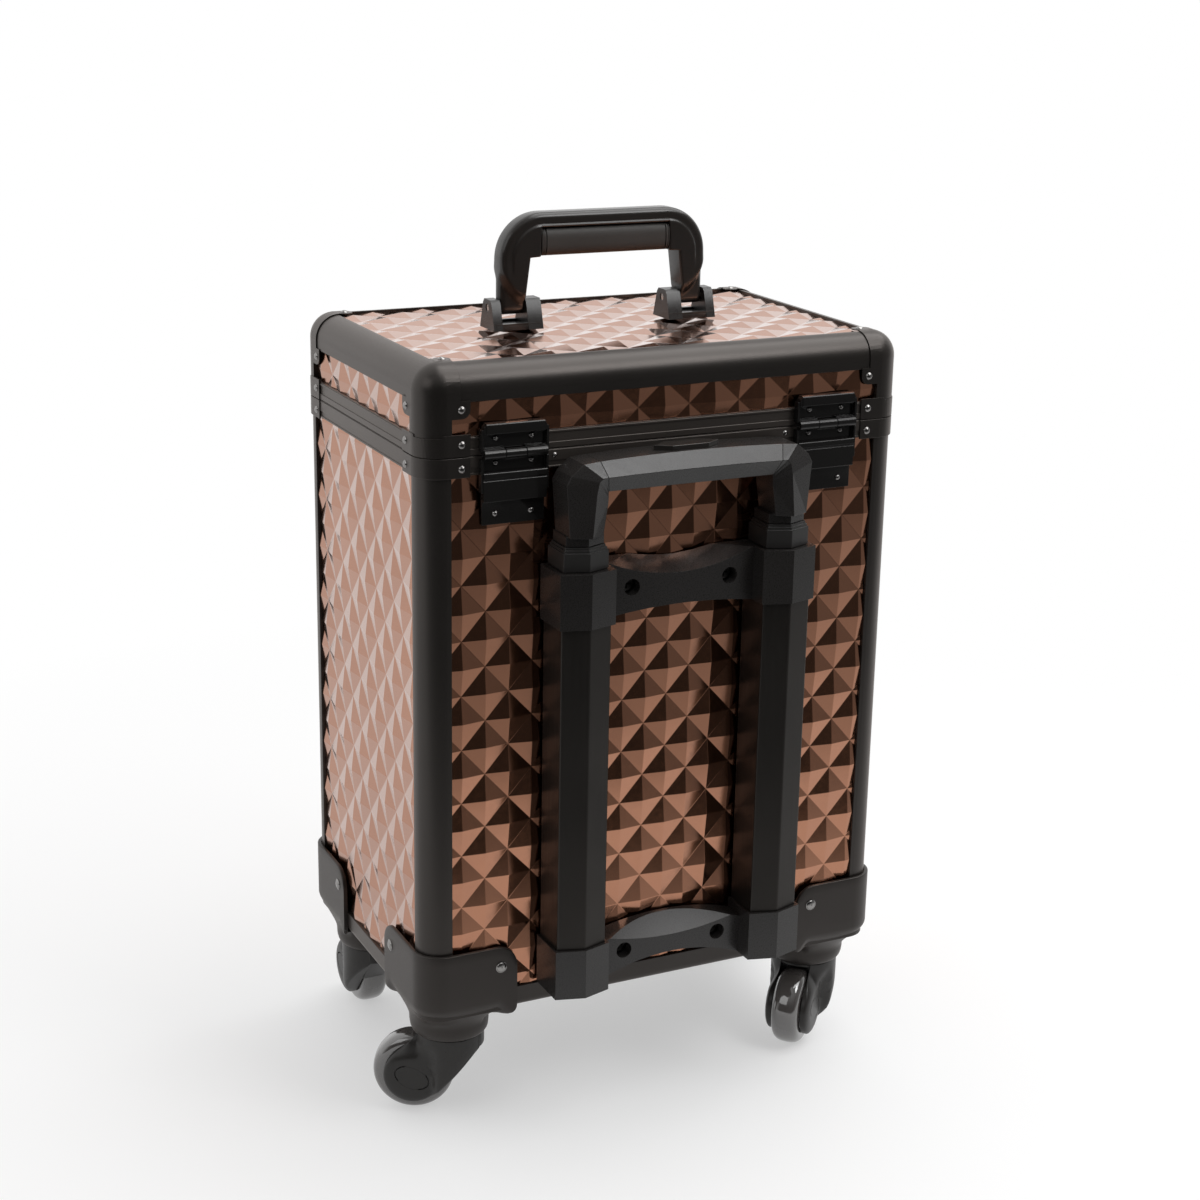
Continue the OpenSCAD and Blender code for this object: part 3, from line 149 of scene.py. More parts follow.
def addPiece(name, parts, sharp, body, nodes, paint):
    # a closed piece with smooth faces, sharp where its faces meet at more than an angle
    piece = outward(makePiece(name, *joined(parts)))
    piece.data.set_sharp_from_angle(angle=math.radians(sharp))
    return place(piece, body, nodes, paints[paint])


def startMaterial(name, colour, metallic, roughness, sockets):
    material = bpy.data.materials.new(name)
    material.use_nodes = True
    tree = material.node_tree
    shader = tree.nodes["Principled BSDF"]
    shader.inputs["Base Color"].default_value = (*colour, 1)
    shader.inputs["Metallic"].default_value = metallic
    shader.inputs["Roughness"].default_value = roughness
    for key, value in sockets.items():
        shader.inputs[key].default_value = value
    return material, tree, shader


def addNode(tree, kind, **values):
    # a new node; each value goes to the socket of its name, or else to the node's own setting
    node = tree.nodes.new(kind)
    for key, value in values.items():
        if key in node.inputs:
            node.inputs[key].default_value = value
        else:
            setattr(node, key, value)
    return node


def noiseField(tree, scale, detail, stretch=(1, 1, 1)):
    # noise on the object's own coordinates, drawn out along an axis by a small stretch
    coords = addNode(tree, "ShaderNodeTexCoord")
    mapping = addNode(tree, "ShaderNodeMapping")
    mapping.inputs["Scale"].default_value = stretch
    tree.links.new(coords.outputs["Object"], mapping.inputs["Vector"])
    noise = addNode(tree, "ShaderNodeTexNoise", Scale=scale, Detail=detail, Roughness=0.5)
    tree.links.new(mapping.outputs["Vector"], noise.inputs["Vector"])
    return noise.outputs["Fac"]


def ramp(tree, factor, low, high, start=0.35, end=0.65):
    # goes straight from low to high while the factor goes from start to end
    node = addNode(tree, "ShaderNodeMapRange")
    node.inputs["From Min"].default_value = start
    node.inputs["From Max"].default_value = end
    node.inputs["To Min"].default_value = low
    node.inputs["To Max"].default_value = high
    tree.links.new(factor, node.inputs["Value"])
    return node.outputs["Result"]


def combine(tree, operation, first, second):
    # one calculation on two values; the second may be a plain number
    node = addNode(tree, "ShaderNodeMath", operation=operation)
    tree.links.new(first, node.inputs[0])
    if isinstance(second, float):
        node.inputs[1].default_value = second
    else:
        tree.links.new(second, node.inputs[1])
    return node.outputs[0]


def colourMix(tree, factor, first, second):
    # sockets 6 and 7 are the Mix node's two colours, and output 2 is its colour
    node = addNode(tree, "ShaderNodeMix", data_type="RGBA")
    node.inputs[6].default_value = (*first, 1)
    node.inputs[7].default_value = (*second, 1)
    tree.links.new(factor, node.inputs[0])
    return node.outputs[2]


# what a finish has unless it says otherwise: driftScale for the slow change of colour, grainScale for the fine
# grain, spread for how far the grain moves the roughness, bumpDistance in metres
plainFinish = {"metallic": 0, "driftScale": 14, "spread": 0.06, "stretch": (1, 1, 1), "bump": 0.1,
    "bumpDistance": 0.0002, "sockets": {}}


def finish(name, settings):
    # fine grain in the roughness and the surface, slow drift between two colours
    s = plainFinish | settings
    material, tree, shader = startMaterial(name, s["colour"], s["metallic"], s["roughness"], s["sockets"])
    drift = noiseField(tree, s["driftScale"], 2)
    tint = colourMix(tree, ramp(tree, drift, 0, 1), s["colour"], s["second"])
    tree.links.new(tint, shader.inputs["Base Color"])
    grain = noiseField(tree, s["grainScale"], 4, s["stretch"])
    rough = ramp(tree, grain, s["roughness"] - s["spread"], s["roughness"] + s["spread"], 0.3, 0.7)
    tree.links.new(rough, shader.inputs["Roughness"])
    bump = addNode(tree, "ShaderNodeBump", Strength=s["bump"], Distance=s["bumpDistance"])
    tree.links.new(grain, bump.inputs["Height"])
    tree.links.new(bump.outputs["Normal"], shader.inputs["Normal"])
    return material


# a warm cast in the shine of the coated frame and its brackets
warmShine = {"Specular Tint": (1.0, 0.91, 0.86, 1)}
warmSheen = {"Sheen Weight": 0.10, "Sheen Roughness": 0.4, "Sheen Tint": (1.0, 0.84, 0.75, 1)}
finishes = {
    "roseSheet": {"colour": (0.468, 0.196, 0.101), "second": (0.438, 0.182, 0.094), "metallic": 1.0,
        "roughness": 0.17, "grainScale": 260, "bump": 0.02, "spread": 0.03,
        "sockets": {"Coat Weight": 0.95, "Coat IOR": 1.6, "Coat Roughness": 0.12}},
    "bracketPlastic": {"colour": (0.013, 0.0116, 0.0105), "second": (0.017, 0.015, 0.0135),
        "roughness": 0.42, "grainScale": 2400, "sockets": {"Specular IOR Level": 0.5} | warmShine | warmSheen},
    "frameCoat": {"colour": (0.016, 0.0145, 0.013), "second": (0.020, 0.018, 0.0165), "metallic": 0.3,
        "roughness": 0.34, "grainScale": 1500, "bump": 0.05,
        "sockets": {"Specular IOR Level": 0.74} | warmShine | warmSheen},
    # the rims' coat is the frame's coat painted about three times lighter: a painted highlight for the light that
    # the rims and their beads catch
    "rimCoatPaintedLight": {"colour": (0.052, 0.045, 0.040), "second": (0.060, 0.052, 0.046), "metallic": 0.3,
        "roughness": 0.34, "grainScale": 1500, "bump": 0.05, "sockets": {"Specular IOR Level": 0.7} | warmShine},
    "blackEnamel": {"colour": (0.016, 0.015, 0.015), "second": (0.020, 0.019, 0.018), "metallic": 0.4,
        "roughness": 0.14, "grainScale": 900, "bump": 0.015},
    "tubeAnodised": {"colour": (0.029, 0.0258, 0.0232), "second": (0.035, 0.0313, 0.0282), "metallic": 0.7,
        "roughness": 0.36, "grainScale": 900, "stretch": (1, 1, 0.04), "bump": 0.08},
    "mouldedGrip": {"colour": (0.0185, 0.0167, 0.0158), "second": (0.0235, 0.0214, 0.0203),
        "roughness": 0.29, "grainScale": 2200, "bump": 0.06},
    "mouldedDark": {"colour": (0.020, 0.019, 0.018), "second": (0.026, 0.024, 0.023),
        "roughness": 0.42, "grainScale": 2000, "bump": 0.14},
    "glossBlack": {"colour": (0.022, 0.019, 0.017), "second": (0.026, 0.023, 0.021),
        "roughness": 0.22, "grainScale": 600, "bump": 0.04, "spread": 0.03},
    "softSleeve": {"colour": (0.052, 0.048, 0.045), "second": (0.062, 0.058, 0.054),
        "roughness": 0.62, "grainScale": 1800, "bump": 0.3},
    "forkPlastic": {"colour": (0.022, 0.020, 0.0185), "second": (0.027, 0.025, 0.023),
        "roughness": 0.33, "grainScale": 1600, "bump": 0.08, "sockets": {"Specular IOR Level": 0.38}},
    "tyreRubber": {"colour": (0.075, 0.068, 0.065), "second": (0.085, 0.077, 0.073),
        "roughness": 0.10, "grainScale": 900, "bump": 0.03,
        "sockets": {"Specular IOR Level": 0.9, "Coat Weight": 1.0, "Coat IOR": 1.8, "Coat Roughness": 0.06}},
    "brightSteel": {"colour": (0.60, 0.58, 0.56), "second": (0.54, 0.52, 0.50), "metallic": 1.0,
        "roughness": 0.18, "grainScale": 900, "bump": 0.04, "spread": 0.05},
    "darkRivet": {"colour": (0.32, 0.31, 0.30), "second": (0.26, 0.25, 0.245), "metallic": 1.0,
        "roughness": 0.2, "grainScale": 900, "bump": 0.04, "spread": 0.05},
    "liningFoam": {"colour": (0.030, 0.029, 0.030), "second": (0.040, 0.039, 0.040),
        "roughness": 0.85, "grainScale": 700, "bump": 0.5, "bumpDistance": 0.0004},
    "stainedBoard": {"colour": (0.035, 0.033, 0.031), "second": (0.050, 0.046, 0.043),
        "roughness": 0.6, "grainScale": 260, "stretch": (0.08, 1, 1), "bump": 0.2},
}
paints = {name: finish(name, values) for name, values in finishes.items()}
print("materials made:", len(paints))

# each caster's corner of the case as the signs of x and y, and its heading at rest in degrees
corners = {"rear_right": (1, 1, -27), "front_right": (1, -1, -90), "rear_left": (-1, 1, 43),
    "front_left": (-1, -1, 153)}

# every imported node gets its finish; some are replaced further down
finishNodes = {
    "roseSheet": "back_panel front_panel side_panels lid_top_panel lid_side_panels",
    "stainedBoard": "bottom_panel",
    "liningFoam": "body_lining lid_lining",
    "frameCoat": "corner_posts bottom_rails body_seam_plates lid_top_rails lid_corner_caps lid_seam_plates",
    "rimCoatPaintedLight": "body_rim lid_rim",
    "bracketPlastic": "caster_brackets",
    "darkRivet": "body_rivets lid_rivets pivot_pins bracket_screws",
    "brightSteel": "swivel_pins handle_pins release_rods",
    "tubeAnodised": "trolley_rails middle_tubes inner_tubes",
    "mouldedGrip": "upper_bracket lower_bracket grip_elbows grip_bar handle_bases",
    "mouldedDark": "middle_collars",
    "glossBlack": "grip_button carry_handle",
    "blackEnamel": "hinge_body_leaves hinge_lid_leaves latch_bases latch_keepers latch_lever_left latch_lever_right",
    "softSleeve": "handle_grip",
}
nodeFinish = {node: name for name, nodes in finishNodes.items() for node in nodes.split()}
for corner in corners:
    nodeFinish.update({"fork_" + corner: "forkPlastic", "axle_" + corner: "forkPlastic",
        "hub_" + corner: "mouldedDark", "tyre_" + corner: "tyreRubber"})
for node, name in nodeFinish.items():
    mesh = frame["nodes"][node].data
    mesh.materials.clear()
    mesh.materials.append(paints[name])

# pitchA and pitchB are half the width and height of a star; lip is how far a sheet lies behind the case's
# face, board its thickness, edge the rounding of its folds, uneven and sink the play of its points
sheets = {"relief": 2.3, "low": 0.1, "pitchA": 16.15, "pitchB": 18.12, "lip": 2.5, "board": 4.7,
    "edge": 0.3, "foldAngle": 4, "uneven": 0.22, "sink": 0.2, "snap": 0.25}
chance = np.random.default_rng(11)


def diamondSheet(size, pitch, star, s):
    # stars low and apexes high in turn on a lattice, one flat facet between each three of them;
    # each point is a little off its place, as in pressed metal, and the slab is cut to its window
    nu, nv = (math.ceil((whole / 2 + abs(at)) / step) + 1 for whole, at, step in zip(size, star, pitch))
    i, j = np.meshgrid(np.arange(-nu, nu + 1), np.arange(-nv, nv + 1))
    high = (i + j) % 2 == 1
    off = chance.uniform(-1, 1, (3,) + i.shape)
    u = star[0] + i * pitch[0] + s["uneven"] * off[0]
    v = star[1] + j * pitch[1] + s["uneven"] * off[1]
    w = np.where(high, s["relief"] - s["sink"] * (1 + off[2]) / 2, s["low"])
    top = np.stack([u, v, w], -1)
    rows, columns = i.shape
    index = np.arange(rows * columns).reshape(rows, columns)
    a, b, c, d = index[:-1, :-1], index[:-1, 1:], index[1:, 1:], index[1:, :-1]
    # each cell is folded along the line between its two low corners
    lowCross = high[:-1, :-1, None]
    first = np.where(lowCross, np.stack([a, b, d], -1), np.stack([a, b, c], -1)).reshape(-1, 3)
    second = np.where(lowCross, np.stack([b, c, d], -1), np.stack([a, c, d], -1)).reshape(-1, 3)
    # four walls go down to the slab's four feet
    chains = [index[0, :], index[:, -1], index[-1, ::-1], index[::-1, 0]]
    foot = rows * columns + np.arange(4)
    feet = np.array([top[0, 0], top[0, -1], top[-1, -1], top[-1, 0]]) * [1, 1, 0] - [0, 0, s["board"]]
    walls = [[foot[k], *chains[k].tolist(), foot[(k + 1) % 4]] for k in range(4)]
    points = np.concatenate([top.reshape(-1, 3), feet])
    faces = first.tolist() + second.tolist() + walls + [foot[::-1].tolist()]
    return cutToWindow(points, faces, size[0] / 2, size[1] / 2)


def cutToWindow(points, faces, reachU, reachV):
    # cuts a closed block by four upright planes and closes each cut
    mesh = bpy.data.meshes.new("window")
    mesh.from_pydata(points.tolist(), [], [[int(k) for k in face] for face in faces])
    work = bmesh.new()
    work.from_mesh(mesh)
    for way, reach in (((1, 0, 0), reachU), ((-1, 0, 0), reachU), ((0, 1, 0), reachV), ((0, -1, 0), reachV)):
        everything = work.verts[:] + work.edges[:] + work.faces[:]
        found = bmesh.ops.bisect_plane(work, geom=everything, dist=sheets["snap"],
            plane_co=np.array(way) * reach, plane_no=way, clear_outer=True)
        cut = [edge for edge in found["geom_cut"] if isinstance(edge, bmesh.types.BMEdge)]
        bmesh.ops.edgenet_fill(work, edges=cut)
    work.to_mesh(mesh)
    work.free()
    flat = np.empty(len(mesh.vertices) * 3)
    mesh.vertices.foreach_get("co", flat)
    cutFaces = [list(polygon.vertices) for polygon in mesh.polygons]
    bpy.data.meshes.remove(mesh)
    return flat.reshape(-1, 3), cutFaces


def onSide(points, side, middleZ):
    # lays a sheet's own right, up and out on one side of the case: 0 back, 1 front, 2 right, 3 left, 4 top
    u, v, w = points.T
    w = w - sheets["lip"]
    if side == 0: return np.stack([-u, backY + w, middleZ + v], -1)
    if side == 1: return np.stack([u, frontY - w, middleZ + v], -1)
    if side == 2: return np.stack([halfW + w, middleY + u, middleZ + v], -1)
    if side == 3: return np.stack([-halfW - w, middleY - u, middleZ + v], -1)
    return np.stack([u, middleY + v, case["top"] + w], -1)


def addSheets(name, parts, body, node):
    # facets stay flat, with a fine rounding on every fold
    piece = outward(makePiece(name, *joined(parts)))
    addBevel(piece, "folds", sheets["edge"], sheets["foldAngle"], False)
    return place(piece, body, [node], paints["roseSheet"])


play = case["play"]
bodyLow, bodyHigh = case["floorGap"] + case["bottomRail"] + play, case["seam"] - case["rim"] - play
stripLow = case["seam"] + case["seamGap"] + case["rim"] + play
stripHigh = case["top"] - case["topRail"] - play
bodyZ, bodyH = (bodyLow + bodyHigh) / 2, bodyHigh - bodyLow
stripZ, stripH = (stripLow + stripHigh) / 2, stripHigh - stripLow
window = {"wide": case["width"] - 2 * case["post"] - 2 * play, "deep": case["depth"] - 2 * case["post"] - 2 * play}
topSize = case["width"] - 2 * case["edge"] - 2 * play, case["depth"] - 2 * case["edge"] - 2 * play
upright, lying = (sheets["pitchA"], sheets["pitchB"]), (sheets["pitchB"], sheets["pitchA"])
# where one star's middle lies on each sheet: to the right of the middle, and its height
backStar, sideStar = (1.4, case["floorGap"] + 168.5), (3.3, case["floorGap"] + 182.3)
stripStar = 12.3, case["seam"] + 20.5


def wall(side, across, height):
    size = window["wide" if side < 2 else "deep"], bodyH
    points, faces = diamondSheet(size, upright, (across, height - bodyZ), sheets)
    return onSide(points, side, bodyZ), faces


def strip(side, across):
    size = window["wide" if side < 2 else "deep"], stripH
    points, faces = diamondSheet(size, lying, (across, stripStar[1] - stripZ), sheets)
    return onSide(points, side, stripZ), faces


addSheets("back_sheet", [wall(0, *backStar)], "case", "back_panel")
addSheets("front_sheet", [wall(1, 0, backStar[1])], "case", "front_panel")
addSheets("side_sheets", [wall(2, *sideStar), wall(3, -sideStar[0], sideStar[1])], "case", "side_panels")
strips = [strip(0, stripStar[0]), strip(1, 0), strip(2, stripStar[0]), strip(3, -stripStar[0])]
addSheets("lid_strip_sheets", strips, "lid", "lid_side_panels")
topPoints, topFaces = diamondSheet(topSize, lying, (0, 0), sheets)
addSheets("lid_top_sheet", [(onSide(topPoints, 4, 0), topFaces)], "lid", "lid_top_panel")
print("diamond sheets made")


# each bead's lower and upper edge over the seam; foot is how deep it stands in the rim
rimBeads = {"proud": 0.55, "foot": 0.3, "slope": 0.2, "rise": 0.1, "soft": 0.3,
    "lid": ((0.6, 4.6), (10.2, 11.8)), "case": ((-7.4, -0.3), (-11.7, -10.4))}


def beadPoints(r, low, high):
    # a flat bead that runs round the case's rounded outline, with its two edges sloped off
    turn = arc(0, 90, 13)
    bend = np.stack([np.cos(turn), np.sin(turn)], -1)
    reach = np.array([halfW, halfD]) - case["edge"]
    quarters = [(bend, reach), (bend[:, ::-1] * [-1, 1], reach * [-1, 1]), (-bend, -reach),
        (bend[:, ::-1] * [1, -1], reach * [1, -1])]
    way = np.concatenate([w for w, middle in quarters])
    middle = np.concatenate([np.tile(m, (len(turn), 1)) for w, m in quarters])
    crown, side = r["proud"], r["proud"] - r["slope"]
    out = np.array([-r["foot"], side, crown, crown, side, -r["foot"]])
    z = np.array([low, low + r["rise"], low + r["soft"], high - r["soft"], high - r["rise"], high])
    flat = middle[:, None] + way[:, None] * (case["edge"] + out)[None, :, None]
    height = np.broadcast_to(case["seam"] + z, flat.shape[:2])
    points = np.stack([flat[:, :, 0], middleY + flat[:, :, 1], height], -1)
    return points.reshape(-1, 3), gridFaces(len(way), len(z), wrapRows=True, wrapColumns=True)


# the beads take the rims' coat, with its painted highlight
for body in ("lid", "case"):
    beads = [beadPoints(rimBeads, *band) for band in rimBeads[body]]
    addPiece(body + "_rim_beads", beads, 30, body, [], "rimCoatPaintedLight")
print("rim beads made")

# distances from the bow's middle and heights over the floor; leg, arm and grip are its inner line's three widths,
# legT and fullT half its thickness, shoulder the curve below which the thin legs begin
bow = {"half": 74.75, "corner": 30, "top": 592, "pivot": 531, "leg": 57.25, "arm": 54.4, "grip": 46.75,
    "armLow": 540, "armHigh": 562, "gripLow": 563.5, "gripHigh": 582.5, "legT": 5, "fullT": 9, "thin": 1.6,
    "outerRound": 4.0, "innerRound": 1.6, "rib": 7.3, "ribStep": 1.1, "ribEdge": 1.3, "ribLow": 550, "ribRise": 14,
    "shoulder": 533, "shoulderRise": 18, "shoulderWide": 17.5, "shoulderCurve": 1.9, "shoulderSoft": 9}


def bowHalf(b):
    # one half from the leg's end to the middle of the bar: outer line, inner line, leg's rounding and
    # how far the rib shows
    low, turn = arc(-88, 0, 8), arc(0, 90, 22)[1:]
    z = np.linspace(b["pivot"], b["top"] - b["corner"], 26)[1:]
    x = np.linspace(b["half"] - b["corner"], 0, 9)[1:]
    zLow = b["pivot"] + b["legT"] * np.sin(low)
    centreX, centreZ = b["half"] - b["corner"], b["top"] - b["corner"]
    outer = np.concatenate([
        np.stack([np.full(len(low), b["half"]), zLow], 1),
        np.stack([np.full(len(z), b["half"]), z], 1),
        np.stack([centreX + b["corner"] * np.cos(turn), centreZ + b["corner"] * np.sin(turn)], 1),
        np.stack([x, np.full(len(x), b["top"])], 1)])
    legX = np.interp(z, [b["armLow"], b["armHigh"]], [b["leg"], b["arm"]])
    # the inner line turns square into the grip's end, then climbs along it
    share, stops = turn / turn[-1], [0, 0.12, 0.3, 0.36, 1]
    bendX = np.interp(share, stops, [b["arm"], b["arm"], b["grip"] + 0.5, b["grip"], b["grip"]])
    gripZ = b["gripLow"] + np.array([-0.3, 0, 0.6])
    bendZ = np.interp(share, stops, [b["armHigh"], *gripZ, b["gripHigh"]])
    inner = np.concatenate([
        np.stack([np.full(len(low), b["leg"]), zLow], 1), np.stack([legX, z], 1),
        np.stack([bendX, bendZ], 1), np.stack([x, np.full(len(x), b["gripHigh"])], 1)])
    endRound = np.concatenate([np.cos(low), np.ones(len(outer) - len(low))])
    return outer, inner, endRound, smooth((outer[:, 1] - b["ribLow"]) / b["ribRise"])


def bowPoints(b):
    # each station's loop runs from the outer line to the inner one in front and back again behind;
    # the arms are thick above a curve that falls from their outer to their inner edge, and the legs are thin
    outer, inner, endRound, rib = bowHalf(b)
    outer, inner = (np.concatenate([line, line[-2::-1] * [-1, 1]]) for line in (outer, inner))
    endRound, rib = (np.concatenate([share, share[-2::-1]]) for share in (endRound, rib))
    wide = np.linalg.norm(outer - inner, axis=1)[:, None]
    turn, core = arc(0, 90, 7), np.linspace(0, 1, 27)[1:-1]
    ro, ri = b["outerRound"], b["innerRound"]
    # how far each point of the loop lies from the outer line, and how far it drops from the flat face
    outerEdge = np.broadcast_to(ro * (1 - np.cos(turn)), (len(wide), len(turn)))
    innerEdge = wide - ri * (1 - np.cos(turn[::-1]))
    d = np.concatenate([outerEdge, ro + (wide - ro - ri) * core, innerEdge], 1)
    drop = np.concatenate([ro * (1 - np.sin(turn)), np.zeros(len(core)), ri * (1 - np.sin(turn[::-1]))])[None, :]
    at = inner[:, None, :] + (outer - inner)[:, None, :] * (1 - d / wide)[:, :, None]
    fall = (1 - np.clip(d / b["shoulderWide"], 0, 1)) ** b["shoulderCurve"]
    shoulder = b["shoulder"] + b["shoulderRise"] * fall
    half = b["legT"] + (b["fullT"] - b["legT"]) * smooth((at[:, :, 1] - shoulder + 2) / b["shoulderSoft"])
    drop = np.minimum(drop, half - b["thin"])
    ribDrop = b["ribStep"] * rib[:, None] * (1 - smooth((d - b["rib"]) / b["ribEdge"]))
    y = (half - drop - ribDrop) * endRound[:, None]
    front = np.stack([at[:, :, 0], middleY + y, at[:, :, 1]], -1)
    back = np.stack([at[:, ::-1, 0], middleY - y[:, ::-1], at[:, ::-1, 1]], -1)
    loop = np.concatenate([front, back], 1)
    return loop.reshape(-1, 3), tubeFaces(len(loop), loop.shape[1])


addPiece("carry_bow", [bowPoints(bow)], 42, "carry_handle", ["carry_handle"], "glossBlack")

# tall and thick are halves; power squares the circle; a groove runs round near each end
sleeve = {"half": 46.6, "tall": 9.4, "thick": 9.5, "power": 3.4, "endRound": 0.9,
    "groove": 43.6, "grooveDepth": 0.7, "grooveHalf": 0.45, "grooveSide": 0.15}


def sleevePoints(g):
    # rings of a squared circle along x, drawn in at the two grooves and at the ends
    end = g["half"] - g["endRound"] * (1 - np.sin(arc(0, 90, 6)))
    grooveX = g["groove"] + np.array([0.9, 0.45, 0.3, -0.3, -0.45, -0.9])
    x = np.concatenate([end, grooveX, np.linspace(g["groove"] - 1.5, 0, 12)])
    x = np.concatenate([x, -x[-2::-1]])
    away, endR = g["half"] - np.abs(x), g["endRound"]
    ended = endR - np.sqrt(np.clip(endR ** 2 - (endR - away) ** 2, 0, None))
    lower = np.where(away < endR, ended, 0)
    fromGroove = np.abs(np.abs(x) - g["groove"])
    lower += g["grooveDepth"] * np.clip((g["grooveHalf"] - fromGroove) / g["grooveSide"], 0, 1)
    t = np.linspace(0, 2 * np.pi, 64, endpoint=False)
    c, s = np.cos(t), np.sin(t)
    square = (np.abs(c) ** g["power"] + np.abs(s) ** g["power"]) ** (-1 / g["power"])
    y = middleY + (g["thick"] - lower)[:, None] * (square * c)[None, :]
    z = (bow["gripLow"] + bow["gripHigh"]) / 2 + (g["tall"] - lower)[:, None] * (square * s)[None, :]
    rings = np.stack([np.broadcast_to(x[:, None], y.shape), y, z], -1)
    return rings.reshape(-1, 3), tubeFaces(len(rings), len(t))


addPiece("carry_sleeve", [sleevePoints(sleeve)], 50, "carry_handle", ["handle_grip"], "softSleeve")
print("carry handle made")

# axis and reach run in from the case's corner, along x and y; the neck hangs round the axis and ends over the fork
bracket = {"axis": (31, 36), "reach": (63.5, 68), "proud": 3.1, "wall": 2.9, "corner": 16, "top": 130,
    "earRound": 14, "under": 78.5, "underRound": 5, "blendTop": 92, "blendFar": 66, "blendWide": 22, "blendEnd": 12,
    "neck": 27, "neckFillet": 7, "neckLow": 59.4, "neckEnd": 24.2, "neckRound": 8.5, "plateTop": 82.9,
    "skin": 0.2, "edge": 3, "edgeShare": 0.6, "filletShare": 0.4, "crown": 0.8}


def bracketOutline(b):
    # plan of the plate from the case's corner, the height of its wall above each point, the way into the
    # wall, and the distance from each ear's end
    p, r, ear, (rx, ry) = b["proud"], b["corner"], b["earRound"], b["reach"]

    def along(reach):
        # even steps, then steps that go round the ear
        return np.concatenate([np.linspace(r, reach - ear, 8)[1:], reach - ear + ear * np.sin(arc(0, 90, 10))[1:]])

    def top(s, reach):
        # a level edge that falls in a quarter circle at the ear
        return b["top"] - ear + np.sqrt(np.clip(ear ** 2 - np.clip(s - reach + ear, 0, None) ** 2, 0, None))

    xs, ys, turn = along(rx), along(ry), arc(180, 270, 13)
    bend = np.stack([np.cos(turn), np.sin(turn)], 1)
    wallY = np.stack([np.full(len(ys), -p), ys], 1)[::-1]
    wallX = np.stack([xs, np.full(len(xs), -p)], 1)
    inside = np.array([[rx, -b["skin"]], [rx, 12], [rx, 28], [rx, 44], [56, 54], [46, 64], [40, ry], [28, ry],
        [14, ry], [-b["skin"], ry]])
    plan = np.concatenate([wallY, r + (r + p) * bend, wallX, inside])
    heights = np.concatenate([top(ys, ry)[::-1], np.full(len(turn), b["top"]), top(xs, rx),
        np.full(len(inside), b["plateTop"])])
    into = np.concatenate([np.tile([1, 0], (len(ys), 1)), -bend, np.tile([0, 1], (len(xs), 1)),
        np.zeros((len(inside), 2))])
    ends = np.concatenate([ry - ys[::-1], np.full(len(turn), 50), rx - xs, np.zeros(len(inside))])
    return plan, heights, into, ends


def bracketPoints(b, signX, signY):
    # columns over the outline: from the neck's foot up the neck, out along the underside, up the wall,
    # over its edge and down inside
    plan, heights, into, ends = bracketOutline(b)
    axis = np.array(b["axis"], float)
    far = np.linalg.norm(plan - axis, axis=1)
    way = (plan - axis) / far[:, None]
    ur = b["underRound"]
    low = b["under"] + ur - np.sqrt(np.clip(ur ** 2 - np.clip(ur - ends, 0, ur) ** 2, 0, None))
    near = smooth((b["blendFar"] - far) / b["blendWide"]) * smooth(ends / b["blendEnd"])
    fillet = np.minimum(b["neckFillet"], b["filletShare"] * (far - b["neck"]))
    wide = np.minimum(b["edge"], b["edgeShare"] * (far - b["neck"]))
    tall = np.minimum(b["edge"], (heights - low) / 2)
    neckTop = b["under"] - b["neckFillet"]
    turn = arc(0, 90, 7)
    c, s = np.cos(turn)[:, None], np.sin(turn)[:, None]
    ones = np.ones(len(plan))
    # the neck's foot, and its rounded lower edge
    radius = [ones * 2, ones * b["neckEnd"] * 0.97] + list(b["neckEnd"] + (b["neck"] - b["neckEnd"]) * s * ones)
    height = [ones * b["neckLow"]] * 2 + list(b["neckLow"] + b["neckRound"] * (1 - c) * ones)
    # away from the neck a fillet and a flat underside, and near it one smooth flare from the neck to the wall
    under = np.concatenate([b["neck"] + fillet * (1 - c), far - wide * (1 - s)])
    underZ = np.concatenate([neckTop + (low - neckTop) * s, low + tall * (1 - c)])
    t = np.linspace(0, 1, len(under))[:, None]
    blend = b["neck"] + (far - b["neck"]) * smooth(t)
    blendZ = neckTop - 3 + (b["blendTop"] - neckTop + 3) * t
    radius = np.array(radius + list(under + (blend - under) * near))
    height = np.array(height + list(underZ + (blendZ - underZ) * near))
    around = axis + way * radius[:, :, None]
    # up the wall, and over its rounded edge to the inside
    rise, edge = np.linspace(0, 1, 7)[1:, None], arc(0, 90, 4)[1:, None]
    base = height[-1]
    soft = np.minimum(b["crown"], (heights - base) / 4)
    wallZ = base + (heights - soft - base) * rise
    crownZ = heights - soft * (1 - np.sin(edge))
    over = soft * (1 - np.cos(edge))
    shift = np.concatenate([np.zeros_like(wallZ), over, (b["wall"] - over)[::-1], [ones * b["wall"]]])
    plate = [ones * b["plateTop"]]
    outer = plan[None] + into[None] * shift[:, :, None]
    flat = np.concatenate([around, outer, axis + (outer[-1:] - axis) * 0.1])
    z = np.concatenate([height, wallZ, crownZ, crownZ[::-1], plate, plate])
    x = signX * (halfW - flat[:, :, 0])
    y = middleY + signY * (halfD - flat[:, :, 1])
    return np.stack([x, y, z], -1).reshape(-1, 3), tubeFaces(len(z), len(plan))


brackets = [bracketPoints(bracket, signX, signY) for signX, signY, heading in corners.values()]
addPiece("corner_brackets", brackets, 38, "case", ["caster_brackets"], "bracketPlastic")

